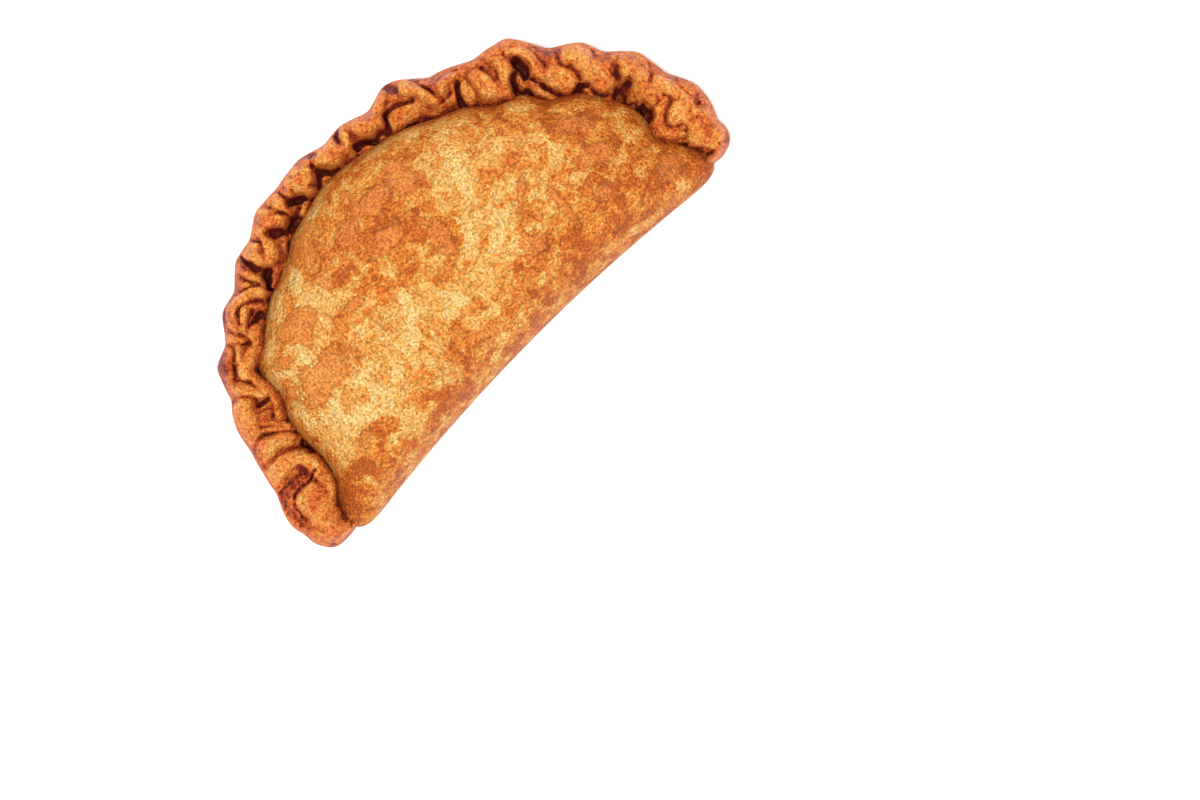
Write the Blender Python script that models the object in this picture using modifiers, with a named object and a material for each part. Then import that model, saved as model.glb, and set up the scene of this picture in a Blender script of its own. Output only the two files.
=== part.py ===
"""A fried panzerotto: a half-moon pocket of dough with a crimped rim, as one closed solid.

Plan sizes are in millimetres in the drawing frame: +X along the straight folded edge, +Y towards
the crimp, origin at the middle of the fold, Z up from the underside. The crimp is drawn in rim
coordinates: the station along a guide line that runs round the rim from the left corner to the
right one, and the depth inwards from that line.
"""

import bmesh
import bpy
import numpy as np

MM = 0.001

# Guide line of the rim: half an ellipse, closed at both corners by a squarer curve.
GUIDE_CENTRE = (0.5, 20.0)
HALF_LENGTH = 110.0
RIM_RISE = 91.0
CORNER_DROP = 21.5
CORNER_SQUARENESS = 4.6
CORNER_TURN = 62.0          # degrees past the ends of the ellipse
GUIDE_STEPS = 2000
DIRECTION_BLUR = 121

# Heights.
TOP_Z = 42.0                # middle of the pocket
CREST_Z = 26.0              # top of the crimp
EQUATOR_Z = 10.0            # widest level of the crimp
SEAM_Z = 10.0               # edge of the pocket under the crimp
FOLD_Z = 14.0               # widest level of the folded edge
BELLY_Z = 3.5               # underside of the crimp

# Pocket.
POCKET_CENTRE = (1.0, 46.0)
FOLD_HALF = 88.0            # half the length of the straight fold
FOLD_BOW = 5.5              # how far the fold is bowed in
FOLD_Y = -1.0
FLAT_SHARE = 0.84           # share of the underside that lies flat
SHOULDER = (2.8, 0.50)      # powers of the pocket's section, as in 1 - share^p, raised to q
ROUNDING = 0.16             # share of a turn over which the inner contours are evened out
SWELL_SIZE, SWELL = 26.0, 0.8

# Crimp.
FIRST_STATION, LAST_STATION = 12.5, 389.0
NOSE_LENGTH = 14.0          # over which each end narrows to a nose inside the pocket
NOSE_DEPTH, NOSE_Z = 8.0, 8.0
NOSE_TIP = 0.1              # size of the section at the very end of a nose
CREST_SHARE = 0.42          # where the crest lies, from the outline (0) to the seam (1)
ROPE_FALL = 5.0             # how far the crimp comes down from crest to seam
EDGE_SHARE = 0.14           # share of the width over which the relief grows at the outline
EDGE_RELIEF = 0.35          # part of the relief that is already there at the outline
FOLD_DEPTH = 4.8            # drop from a fold's ridge line to its shoulders
FULL_WIDTH = 2.6            # a fold narrower than this is shallower in proportion
ROUNDNESS = 2.6             # power of a fold's section
FULLNESS = 1.16             # the folds' half widths as drawn, swollen by this much
STEEPNESS = 2.2             # fall of a fold's sides, mm per mm
BLEND = 0.5                 # softness of the line where two folds meet
BODY_DEPTH = 3.6            # the dough between folds, below the rounded form
APRON = (0.15, 0.50)        # the shares between which the dough sinks to that depth
APRON_DEPTH = 1.6
SEAM_DEPTH = 5.0            # how much further it sinks at the seam
SEAM_SHARES = (0.70, 0.95)  # the shares between which it does
LOWEST, FLOOR_Z = 17.0, 7.0
REACH = 12.0                # how far a fold or a cut is felt along the rim
UNDERCUT = 9.0              # how far the crimp's underside runs in from the outline

# Unevenness of the crimp: cell size and strength of each layer of noise.
BEND = ((8.0, 0.7), (3.6, 0.45))
LUMPS = ((5.0, 0.7), (2.3, 0.25))
STEEPER = ((9.0, 1.2),)
BODY_LUMPS = ((5.5, 1.2),)
RAGGED = ((2.2, 0.5),)

# Outline of the crimp: station, depth. Bulges stand outside the guide line, notches inside it.
OUTLINE = (
    (0, -1.5), (14, -2.0), (23, -2.2), (29, 0.3), (36, 1.9), (42, 0.6), (48, 1.7), (55, 4.4),
    (67, 4.2), (75, 3.6), (84, 1.3), (91, 1.0), (95.5, 1.7), (103, -1.2), (108, -3.0),
    (116.5, 0.4), (128, -2.8), (136, 0.2), (147, -3.0), (156, -0.9), (166, -3.7), (177, -1.6),
    (190, -1.5), (200, 2.0), (209, 0.9), (221, 3.8), (231, -1.4), (236, -0.4), (247, 4.4),
    (255, 3.7), (265, 4.2), (279, -1.4), (294.5, 4.2), (307, 0.9), (316, 3.3), (328, -0.6),
    (341, 2.1), (353, -1.2), (361, 0.3), (368, 3.2), (377, -0.6), (385, -2.6), (396, -1.8),
)

# Seam between crimp and pocket: station, depth.
SEAM = (
    (4, -1.8), (12, -1.0), (18, 4), (24, 14), (30, 18.5), (38, 22.5), (50, 26), (62, 25),
    (72, 22.5), (82, 20.5), (92, 19.5), (100, 15), (107, 12), (116, 14), (136, 13.5), (145, 15),
    (155, 14.5), (163, 12.5), (175, 12.5), (188, 11.5), (200, 12.8), (215, 15), (230, 16.5),
    (244, 19), (258, 19.5), (272, 22.5), (285, 20), (297, 23.5), (310, 19.5), (332, 19),
    (342, 19.5), (354, 23.5), (364, 20), (373, 17), (379, 11), (384, 4), (389, -1), (397, -1.8),
)

# Folds of the crimp: lift over the rim's rounded form, then the ridge line as (station, depth,
# half width) rows.
FOLDS = (
    (0.4, (20, 1, 3), (23, 7, 4.6), (30, 12.5, 5.6), (37, 14.4, 6.2), (43.4, 14.8, 5.8)),
    (-1, (26, 3, 3.4), (33, 3.6, 3.4), (40, 2.5, 2.6), (50, 1.8, 2.4), (55, 4.6, 2.2), (58, 9, 2)),
    (0, (38, 20.5, 2), (46, 22.6, 2.6), (54, 23.2, 2.9), (61, 21.5, 3)),
    (0, (59, 3, 3.4), (61, 8, 3.8), (63.5, 14, 3.6), (63, 18, 3.2)),
    (0.6, (69, 4, 3.2), (71.5, 9, 3.8), (73.2, 14, 3.8), (72, 19, 3.2)),
    (1.6, (80, 6.4, 4), (86, 6.2, 4.6), (91.3, 5.8, 3.8)),
    (-3, (85.5, 14, 2.4), (86.5, 17, 2.2)),
    (0.5, (84, 18.8, 1.6), (90, 19.2, 2), (95.5, 17.2, 2.1), (99.5, 13.6, 2.1), (103, 10.2, 2.1)),
    (0.4, (99, 2.5, 2.2), (97.3, 8, 2.2), (94.5, 14, 2)),
    (-0.4, (101, 1.8, 2.8), (107.5, 0.6, 3.2), (113, 2, 2.6)),
    (0.6, (103, 8.6, 2.3), (107, 8.6, 2.8), (111, 10.8, 2.8), (117, 12.6, 1.9), (122.5, 11.6, 2)),
    (1.8, (119.8, 9.2, 1.2), (121.5, 6.2, 1.4), (124.5, 3, 1.8), (128.5, 1.4, 2.1), (132, 2.4, 2),
     (134.4, 6, 2.1), (137, 10, 2.5)),
    (-1.6, (132, 8.6, 1.8), (132.2, 12, 2)),
    (-0.8, (137.8, 1, 2.4), (139.3, 5, 1.6)),
    (0.4, (145, -0.6, 2.2), (143.6, 4, 2.1), (142.8, 7.6, 1.7)),
    (1.2, (150, 2, 2.4), (149.9, 7, 2.5), (151.4, 9.2, 2.5), (155, 8.6, 2.5), (158.5, 6.2, 2.4),
     (160.3, 3, 2.4)),
    (0.8, (153.3, 0, 2.4), (153.3, 4, 2.2)),
    (0, (160, -0.6, 3), (161.5, 2.5, 2.6)),
    (1, (165.4, -1, 3.4), (166.6, 4, 3.2), (168, 7.3, 2.3)),
    (0.3, (172.8, 1, 2.2), (172.5, 4.4, 2.4), (173.3, 7.4, 1.7)),
    (-0.8, (177.2, 0.5, 2.2), (177.4, 3.6, 1.9)),
    (1.4, (181.5, 0.5, 3.4), (184.8, 3.4, 5), (184, 6, 4.4)),
    (0.2, (187, 1, 3), (191, 2.4, 2.6)),
    (1.2, (194.3, 5.6, 2.4), (197.6, 7.4, 3.6), (202, 8, 3.4)),
    (0.2, (197, 3.4, 2.2), (203, 4.4, 2.4)),
    (1.2, (211, 3.4, 1.8), (208.4, 6.4, 1.9), (205.4, 9.8, 1.9)),
    (1.6, (212, 4, 2.2), (215, 6.2, 3.2), (218.4, 8.4, 3.7), (220.8, 9.4, 3)),
    (0, (214, 3.4, 2.4), (220, 5.2, 2.4), (223.4, 6, 2)),
    (0.8, (223.6, 7.8, 1.6), (225.6, 5, 2.3), (228.4, 2.4, 2.6)),
    (-2.4, (232, 1.4, 3), (232.6, 5, 3.2)),
    (-5.6, (227, 13.2, 2.6), (232, 12.6, 3), (238, 13.2, 3), (243.5, 15.8, 2.6)),
    (1.4, (238, 2.4, 2.6), (238, 6, 2.4), (241.4, 8.4, 1.8), (243.4, 12, 1.8), (246, 14.2, 1.4)),
    (-0.4, (247, 7.6, 3.2), (249, 10.6, 2.8)),
    (0.8, (251.3, 11.6, 2.2), (254, 9, 2.3), (257, 9.2, 1.9)),
    (-0.4, (251, 6, 2.4), (258, 6.6, 2.4), (266, 8, 2.6)),
    (-4, (250.4, 15.7, 1.6), (254.4, 15.3, 1.9)),
    (-0.4, (260.4, 13.8, 2.3), (261.3, 17.4, 2.6)),
    (1.6, (266, 12, 2.6), (268.2, 15, 3.8), (272, 17.8, 3.4), (278.6, 20, 1.9)),
    (0.6, (272.6, 4.4, 3.4), (278, 3.2, 3.6)),
    (1.2, (275.8, 8.4, 2.4), (277.8, 12, 2.7), (277.9, 15.4, 2.3)),
    (1.4, (279.8, 6.4, 1.5), (283.5, 5.7, 1.8), (287, 7.4, 2), (290, 11, 2.2), (293, 15, 2.3)),
    (0, (281, 1.8, 2), (286, 2.6, 2.4), (291, 5, 2.8), (295, 8, 3)),
    (-0.8, (294.5, 8, 3), (297, 11, 3)),
    (0.8, (302, 4.4, 2.4), (302.6, 8, 2.6)),
    (0.8, (297, 14.2, 3.6), (301, 16, 4.4), (306, 17, 3.8)),
    (2, (306, 6, 3.6), (311, 10, 4), (316, 12.8, 4), (321.4, 14.6, 3.2)),
    (-1, (315.4, 5.6, 3), (320.4, 10, 2.8)),
    (1, (322.6, 4.4, 3.4), (327.8, 6.4, 4.2)),
    (1.4, (332, 8.4, 3.4), (337, 11.4, 4), (342, 13, 3.4)),
    (-0.6, (338.4, 2.8, 2.8), (341, 3.4, 2.4)),
    (1.4, (340.4, 7.4, 2.6), (346, 7.2, 2.9), (352, 7.8, 2.9), (359.4, 7.6, 3)),
    (-0.3, (345, 2.4, 2.8), (351, 1.6, 3), (359.4, 2.8, 3.2)),
    (2.4, (355.2, 12, 5.4), (356.2, 12.6, 5.4)),
    (-0.4, (346.4, 12.4, 1.6), (347.2, 16, 2.1), (350, 19.8, 2.3), (354.6, 21.2, 2.1),
     (359.6, 19.8, 1.9), (362.6, 17.4, 1.5)),
    (1, (364.4, 11.4, 3.4), (368, 13, 4), (373, 13, 3.5), (377, 10, 2.8), (380, 6, 2.4)),
    (0, (363, 5.4, 3.4), (370, 6.6, 3.4), (376, 4, 3.6)),
    (0, (381, 1.2, 3.6), (388, 2.6, 3.4)),
)

# Hollows and creases cut between the folds: depth, half width, bank beside it, then the line.
CUTS = (
    (3, 0.5, 1, (41, 7.2), (47, 7.8), (51, 12), (52, 21.4)),
    (3, 1.5, 3.6, (50.5, 6.4), (54, 10), (54.6, 17)), (2.2, 1, 2.9, (41, 5.8), (45, 5.4), (49, 5.6)),
    (7.5, 1.2, 1.8, (62, 24.6), (67, 24.2)), (7.5, 1.3, 1.9, (89.6, 12), (91.6, 15.6)),
    (2.5, 0.5, 0.9, (84, 21.6), (90, 21.9), (97, 20.4), (101, 16.4), (104.6, 12.6)),
    (5.2, 0.8, 1.2, (115.6, 8.8), (117, 10.2), (119, 8.8), (120.3, 7)),
    (9, 1.1, 1.6, (126.2, 11.2), (128.2, 11.3)), (2.5, 0.5, 0.7, (148.4, -1), (147.1, 3), (147.2, 9)),
    (7.5, 0.9, 1.4, (139.5, 12.3), (143.5, 11.1), (147.3, 10)),
    (4.5, 1.2, 1.8, (161.4, 6.6), (163.6, 9)), (9, 1.3, 1.7, (175.5, 7.4), (178, 8)),
    (9.8, 1.4, 1.8, (167.6, 11.8), (170, 11.2)), (4.5, 0.6, 1.6, (163.5, 9.6), (167, 11.3)),
    (4.5, 0.6, 1.6, (171, 10.4), (175, 9.2)),
    (6.8, 0.8, 1.9, (186.5, 9.9), (190, 8.4), (194, 10), (197, 12.2)),
    (2.2, 0.8, 1.2, (208.3, 2.3), (205.5, 6)),
    (6.8, 0.9, 1.8, (209.5, 11.4), (214, 11.9), (218, 13.6), (222.5, 14), (225.4, 10.8)),
    (2.2, 0.8, 1.8, (231.8, 1), (233, 3.6)), (4.5, 0.9, 2.2, (227.5, 9.3), (232, 8.6), (238, 9.7)),
    (3.8, 0.8, 1.2, (231.6, 16.5), (234.6, 17.3)),
    (7.5, 0.8, 1.4, (257.1, 12.4), (256.8, 16), (257.6, 19.6)),
    (9.8, 1.5, 1.9, (282, 9.6), (285, 11), (288.5, 14.4)), (6.8, 0.7, 1.2, (282.2, 13), (282.1, 18)),
    (3.4, 0.5, 0.7, (289.6, 15.6), (293.6, 18), (298, 20.3), (303, 21.8)),
    (3.4, 0.5, 0.7, (282, 19.4), (287, 20), (292, 23.3), (297, 25)),
    (6.8, 0.7, 1.3, (308.5, 20.6), (311, 19.3), (314.5, 17.5)),
    (6, 1.7, 2.4, (330, 13.6), (328, 17), (331, 18.5)),
    (8.2, 1.1, 1.7, (340.5, 18), (343.5, 18.8), (346, 19.6)),
    (2.5, 0.5, 0.7, (333, 17.6), (338, 17.8)),
    (3.4, 0.5, 0.9, (365.5, 19.6), (371, 18.6), (375.5, 16.4), (379, 12.5), (381, 8.5), (383, 4.5)),
)

# Middle of the whole pastry in plan, which becomes the origin.
MIDDLE = (1.2, 55.7)

# Making of the solid.
TRIM = 0.6                  # cut off the underside to leave it truly flat
TABLE_SIDE = 400.0
SKIN_VOXEL = 0.9
TRIANGLES = 11000
CRUST_COLOUR = (0.68, 0.37, 0.11, 1.0)
CRUST_ROUGHNESS = 0.55


def rim_guide():
    """The guide line as stations, points and inward directions, evenly spaced along it.

    Inward is halfway between the line's own normal and the way to its centre, blurred along the
    line so that neighbouring directions do not cross inside the tight corners.
    """
    turn = np.radians(np.linspace(180 + CORNER_TURN, -CORNER_TURN, 2 * GUIDE_STEPS))
    cos, sin = np.cos(turn), np.sin(turn)
    square = 2 / CORNER_SQUARENESS
    x = HALF_LENGTH * np.where(sin >= 0, cos, np.sign(cos) * np.abs(cos) ** square)
    y = np.where(sin >= 0, RIM_RISE * sin, -CORNER_DROP * np.abs(sin) ** square)
    line = np.stack([x, y], 1) + GUIDE_CENTRE
    steps = np.linalg.norm(np.diff(line, axis=0), axis=1)
    along = np.concatenate([[0], np.cumsum(steps)])
    stations = np.linspace(0, along[-1], GUIDE_STEPS)
    points = np.stack([np.interp(stations, along, line[:, i]) for i in range(2)], 1)
    tangent = unit(np.gradient(points, axis=0))
    normal = np.stack([tangent[:, 1], -tangent[:, 0]], 1)
    inward = unit(normal + unit(GUIDE_CENTRE - points))
    half = DIRECTION_BLUR // 2
    window = np.hanning(DIRECTION_BLUR)
    padded = np.pad(inward, ((half, half), (0, 0)), mode="edge")
    blurred = [np.convolve(padded[:, i], window / window.sum(), "valid") for i in range(2)]
    return stations, points, unit(np.stack(blurred, 1))


def unit(vectors):
    return vectors / np.linalg.norm(vectors, axis=-1, keepdims=True)


STATIONS, GUIDE_POINTS, INWARD = rim_guide()


def on_rim(station, depth):
    """Plan position of a rim coordinate: the guide point plus depth times the inward direction."""
    at = [np.interp(station, STATIONS, GUIDE_POINTS[:, i]) for i in range(2)]
    way = [np.interp(station, STATIONS, INWARD[:, i]) for i in range(2)]
    return np.stack([at[i] + depth * way[i] for i in range(2)], -1)


def eased(x, table, width):
    """A table of (x, y) rows joined by straight runs, then rounded over a width."""
    xs, ys = np.array(table, float).T
    offsets = np.linspace(-1, 1, 9)
    weights = 1 - 0.9 * offsets ** 2
    rounded = [w * np.interp(x + o * width, xs, ys) for o, w in zip(offsets, weights)]
    return sum(rounded) / weights.sum()


def outline_depth(station):
    return eased(station, OUTLINE, 2.5)


def seam_depth(station):
    return eased(station, SEAM, 3.0)


def smooth(low, high, value):
    """0 at low, 1 at high, and 3t^2 - 2t^3 between them."""
    t = np.clip((value - low) / (high - low), 0, 1)
    return t * t * (3 - 2 * t)


def lattice_value(cell, seed):
    """A fixed pseudo-random number from -1 to 1 for each whole-number cell."""
    mixed = cell[..., 0] * 374761393 + cell[..., 1] * 668265263 + seed * 974634777
    mixed = (mixed & 0xFFFFFFFF) ^ ((mixed & 0xFFFFFFFF) >> 13)
    mixed = (mixed * 1274126177) & 0xFFFFFFFF
    return ((mixed ^ (mixed >> 16)) & 0xFFFF) / 32767.5 - 1.0


def noise(x, y, size, seed):
    """Smooth value noise in plan: lattice values blended by quintic weights over each cell."""
    at = np.stack([x, y], -1) / size
    cell = np.floor(at).astype(np.int64)
    f = at - cell
    blend = f ** 3 * (f * (6 * f - 15) + 10)
    total = 0.0
    for i in (0, 1):
        for j in (0, 1):
            weight = np.abs(1 - i - blend[..., 0]) * np.abs(1 - j - blend[..., 1])
            total = total + weight * lattice_value(cell + np.array([i, j]), seed)
    return total


def smooth_line(rows, steps=14):
    """A smooth line through a feature's rows (Catmull-Rom)."""
    p = np.array(rows, float)
    ends = np.vstack([2 * p[0] - p[1], p, 2 * p[-1] - p[-2]])
    t = np.linspace(0, len(p) - 1, steps)
    i = np.clip(t.astype(int), 0, len(p) - 2)
    f = (t - i)[:, None]
    a, b, c, d = ends[i], ends[i + 1], ends[i + 2], ends[i + 3]
    return 0.5 * (2 * b + (c - a) * f + (2 * a - 5 * b + 4 * c - d) * f ** 2
                  + (3 * b - 3 * c + d - a) * f ** 3)


def from_line(station, depth, rows):
    """Distance of each rim coordinate from a line of (station, depth, half width), and the width there.

    The nearest point is the one that comes closest in half widths.
    """
    line = smooth_line(rows)
    share_of_width, width = np.full(station.shape, np.inf), np.ones(station.shape)
    for start, end in zip(line[:-1], line[1:]):
        run = end - start
        t = ((station - start[0]) * run[0] + (depth - start[1]) * run[1]) / (run[:2] @ run[:2])
        t = np.clip(t, 0, 1)
        wide = start[2] + t * run[2]
        off = np.hypot(station - start[0] - t * run[0], depth - start[1] - t * run[1]) / wide
        width = np.where(off < share_of_width, wide, width)
        share_of_width = np.minimum(share_of_width, off)
    return share_of_width * width, width


def columns_near(station, rows):
    """The grid columns whose station lies within reach of a line."""
    stations = [row[0] for row in rows]
    return (station[:, 0] > min(stations) - REACH) & (station[:, 0] < max(stations) + REACH)


def uneven(station, depth, layers, seed):
    """Noise in rim coordinates, summed over a table's layers."""
    return sum(strength * noise(station, depth, size, seed + k)
               for k, (size, strength) in enumerate(layers))


def bent(station, depth):
    """Rim coordinates shifted by noise, so that no fold runs quite true."""
    return station + uneven(station, depth, BEND, 3), depth + uneven(station, depth, BEND, 5)


def merged(a, b):
    """The higher of two heights, run together softly where they meet."""
    return BLEND * np.logaddexp(a / BLEND, b / BLEND)


def fold_relief(station, depth):
    """Height of the folds over the rim's rounded form: the highest of all the folds.

    Across a fold the section is d (sqrt(1 - u^p) - 1) up to its half width, u being the distance
    in half widths, then a side that is steep in one place and gentle in another.
    """
    at = bent(station, depth)
    steep = STEEPNESS + uneven(station, depth, STEEPER, 8)
    relief = np.full(station.shape, -LOWEST)
    for lift, *rows in FOLDS:
        here = columns_near(station, rows)
        off, width = from_line(at[0][here], at[1][here], rows)
        width = width * FULLNESS
        full = FOLD_DEPTH * np.minimum(1, width / FULL_WIDTH)
        shoulder = full * (np.sqrt(1 - np.minimum(off / width, 1) ** ROUNDNESS) - 1)
        side = np.maximum(off - width, 0) * steep[here]
        relief[here] = merged(relief[here], lift + shoulder - side)
    return relief + uneven(*at, LUMPS, 9)


def cut_depth(station, depth):
    """Depth of the hollows and creases: full within a half width of each line, 0 past its bank."""
    shift = uneven(station, depth, RAGGED, 21)
    at = [bend + shift for bend in bent(station, depth)]
    cut = np.zeros(station.shape)
    for deep, half_width, bank, *points in CUTS:
        rows = [(s, n, 1.0) for s, n in points]
        here = columns_near(station, rows)
        off = from_line(at[0][here], at[1][here], rows)[0]
        cut[here] = np.maximum(cut[here], deep * smooth(half_width + bank, 0.3 * half_width, off))
    return cut


def body_relief(station, depth, share):
    """The dough between the folds: an outer apron, sunk behind it and again at the seam."""
    start, end = APRON
    level = APRON_DEPTH + BODY_DEPTH * np.clip((share - start) / (end - start), 0, 1)
    level = level + SEAM_DEPTH * smooth(*SEAM_SHARES, share)
    return uneven(*bent(station, depth), BODY_LUMPS, 12) - level


def rope_height(share):
    """The rim's rounded form, from the outline (0) over the crest to the seam (1)."""
    rise = np.clip(share / CREST_SHARE, 0, 1)
    outer = EQUATOR_Z + (CREST_Z - EQUATOR_Z) * np.sqrt(1 - (1 - rise) ** 2)
    fall = np.clip((share - CREST_SHARE) / (1 - CREST_SHARE), 0, 1.2)
    return np.where(share < CREST_SHARE, outer, CREST_Z - ROPE_FALL * fall ** 1.5)


def nose(station):
    """Size of the crimp's section: 1 along the rim, rounding down to a tip at each end."""
    inside = np.minimum(station - FIRST_STATION, LAST_STATION - station) / NOSE_LENGTH
    return np.maximum(np.sqrt(1 - (1 - np.clip(inside, 0, 1)) ** 2), NOSE_TIP)


def crimp_height(station, depth):
    """Top of the crimp: rounded form plus folds, over the dough between them, less the cuts."""
    share = (depth - outline_depth(station)) / crimp_width(station)
    relief = merged(fold_relief(station, depth), body_relief(station, depth, share))
    relief = relief - cut_depth(station, depth)
    near_edge = EDGE_RELIEF + (1 - EDGE_RELIEF) * np.clip(share / EDGE_SHARE, 0, 1)
    return np.maximum(rope_height(share) + relief * near_edge, FLOOR_Z)


def crimp_width(station):
    return np.maximum(seam_depth(station) - outline_depth(station), NOSE_DEPTH)


def crimp_grid(columns=620, rows=44):
    """The crimp's closed section at each station: underside, outer wall and top, out to in."""
    station = np.linspace(FIRST_STATION, LAST_STATION, columns)[:, None]
    outline, width = outline_depth(station), crimp_width(station)
    t = np.linspace(0, 1, rows)[None]
    depth = outline + (0.35 * t ** 2 + 0.65 * t) * 1.15 * width
    top = crimp_height(station + 0 * t, depth)
    turn = np.linspace(np.pi / 2, 0, rows // 5)[None, :-1]
    under_depth = outline + (1 - np.cos(turn)) * np.minimum(UNDERCUT, 0.7 * width)
    under = EQUATOR_Z - (EQUATOR_Z - BELLY_Z) * np.sin(turn) + 0 * under_depth
    size = nose(station)
    middle = outline + NOSE_DEPTH
    depth = middle + size * (np.concatenate([under_depth, depth], 1) - middle)
    height = NOSE_Z + size * (np.concatenate([under, top], 1) - NOSE_Z)
    plan = on_rim(station + 0 * depth, depth)
    return np.concatenate([plan, height[..., None]], -1)


def fold_edge(x):
    """Straight edge of the pocket, bowed in a little."""
    return FOLD_Y + FOLD_BOW * (1 - (x / FOLD_HALF) ** 2)


def pocket_outline(count):
    """Radius of the pocket round its centre, and how far each direction points at the fold."""
    station = np.linspace(6, 395, 1500)
    rim = on_rim(station, seam_depth(station))
    x = np.linspace(FOLD_HALF - 4, 4 - FOLD_HALF, 600)
    fold = np.stack([x, fold_edge(x)], 1)
    spoke = np.concatenate([rim, fold]) - POCKET_CENTRE
    on_fold = np.repeat([0.0, 1.0], [len(rim), len(fold)])
    angle, radius = np.arctan2(spoke[:, 1], spoke[:, 0]), np.linalg.norm(spoke, axis=1)
    order = np.argsort(angle)
    turn = np.linspace(-np.pi, np.pi, count, endpoint=False)
    tables = [np.interp(turn, angle[order], v[order], period=2 * np.pi) for v in (radius, on_fold)]
    return turn, ring_blur(tables[0], 0.015), ring_blur(tables[1], 0.10)


def ring_blur(values, share):
    """Values round a ring, averaged over a share of it."""
    size = max(3, int(len(values) * share) | 1)
    window = np.hanning(size + 2)[1:-1]
    wrapped = np.concatenate([values[-(size // 2):], values, values[:size // 2]])
    return np.convolve(wrapped, window / window.sum(), "valid")


def pocket_grid(around=220, top_rows=60, low_rows=12):
    """The pocket as rings, from the top centre out to its widest line and in under it.

    The top is edge + (top - edge) (1 - share^p)^q, share being 0 at the centre and 1 at the
    edge. Towards the centre the rings lose the outline's corners.
    """
    turn, radius, on_fold = [v[:, None] for v in pocket_outline(around)]
    even = ring_blur(radius[:, 0], ROUNDING)[:, None]
    edge = SEAM_Z + (FOLD_Z - SEAM_Z) * on_fold
    share = np.sin(np.linspace(0, np.pi / 2, top_rows))[None, 1:]
    power, root = SHOULDER
    top = edge + (TOP_Z - edge) * (1 - share ** power) ** root
    reach = share * (radius + (even - radius) * (1 - share ** 2))
    sink = np.linspace(0, np.pi / 2, low_rows)[None, 1:]
    under = edge - (edge + TRIM) * np.sin(sink)
    under_reach = radius * (FLAT_SHARE + (1 - FLAT_SHARE) * np.cos(sink))
    x, y = [np.concatenate([reach, under_reach], 1) * way(turn) for way in (np.cos, np.sin)]
    swell = SWELL * noise(x, y, SWELL_SIZE, 11)[:, :top.shape[1]] * np.clip(6 * (1 - share), 0, 1)
    height = np.concatenate([top + swell, under], 1)
    return np.stack([x + POCKET_CENTRE[0], y + POCKET_CENTRE[1], height], -1)


def surface_object(name, grid, ring):
    """A closed mesh object from a grid of points in mm: (sections, points of a section).

    A ring of sections runs from a pole at its first points to a pole at its last ones. Sections
    that are not a ring are loops themselves, and the two end ones are filled.
    """
    sections, across = grid.shape[:2]
    points = grid.reshape(-1, 3)
    here = np.arange(sections if ring else sections - 1)[:, None] * across
    after = (here + across) % (sections * across)
    j = np.arange(across - 1 if ring else across)[None]
    side = (j + 1) % across
    faces = np.stack([here + j, after + j, after + side, here + side], -1).reshape(-1, 4).tolist()
    if ring:
        points = np.concatenate([points, grid[:, [0, -1]].mean(0)])
        first, last = len(points) - 2, len(points) - 1
        faces += [[a, first, b] for a, b in zip(here[:, 0], after[:, 0])]
        faces += [[a + across - 1, b + across - 1, last] for a, b in zip(here[:, 0], after[:, 0])]
    else:
        faces += [list(range(across)), list(range(len(points) - across, len(points)))]
    mesh = bpy.data.meshes.new(name)
    mesh.from_pydata((points - [*MIDDLE, 0]) * MM, [], faces)
    mesh.update()
    return bpy.data.objects.new(name, mesh)


def face_outwards(body):
    """Turns every face of a closed mesh outwards."""
    work = bmesh.new()
    work.from_mesh(body.data)
    bmesh.ops.recalc_face_normals(work, faces=work.faces)
    work.to_mesh(body.data)
    work.free()


def crust_material():
    material = bpy.data.materials.new("fried_crust")
    material.use_nodes = True
    shader = material.node_tree.nodes["Principled BSDF"]
    shader.inputs["Base Color"].default_value = CRUST_COLOUR
    shader.inputs["Roughness"].default_value = CRUST_ROUGHNESS
    shader.inputs["Metallic"].default_value = 0.0
    return material


def helper_collection(name, *objects):
    """A collection for shapes that only serve a Boolean: left out of renders, drawn as wires."""
    collection = bpy.data.collections.new(name)
    bpy.context.scene.collection.children.link(collection)
    for helper in objects:
        collection.objects.link(helper)
        helper.hide_render = True
        helper.display_type = "WIRE"


def boolean(body, name, operation, other):
    modifier = body.modifiers.new(name, "BOOLEAN")
    modifier.operation = operation
    modifier.object = other


def triangle_count(body):
    bpy.context.view_layer.update()
    evaluated = body.evaluated_get(bpy.context.evaluated_depsgraph_get())
    mesh = evaluated.to_mesh()
    mesh.calc_loop_triangles()
    count = len(mesh.loop_triangles)
    evaluated.to_mesh_clear()
    return count


def build():
    for old in list(bpy.data.objects):
        bpy.data.objects.remove(old)
    parts = bpy.data.collections.new("panzerotto")
    bpy.context.scene.collection.children.link(parts)

    body = surface_object("panzerotto", pocket_grid(), ring=True)
    parts.objects.link(body)
    crimp = surface_object("crimp", crimp_grid(), ring=False)
    bpy.ops.mesh.primitive_cube_add(size=TABLE_SIDE * MM, location=(0, 0, -TABLE_SIDE * MM / 2))
    table = bpy.context.object
    table.name = "table"
    for collection in list(table.users_collection):
        collection.objects.unlink(table)
    helper_collection("helpers", crimp, table)
    for shape in (body, crimp):
        face_outwards(shape)

    boolean(body, "join_crimp", "UNION", crimp)
    skin = body.modifiers.new("even_skin", "REMESH")
    skin.mode = "VOXEL"
    skin.voxel_size = SKIN_VOXEL * MM
    fewer = TRIANGLES / triangle_count(body)
    body.modifiers.new("fewer_faces", "DECIMATE").ratio = fewer
    boolean(body, "flat_underside", "DIFFERENCE", table)
    body.data.materials.append(crust_material())
    body.data.shade_smooth()


build()
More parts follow.
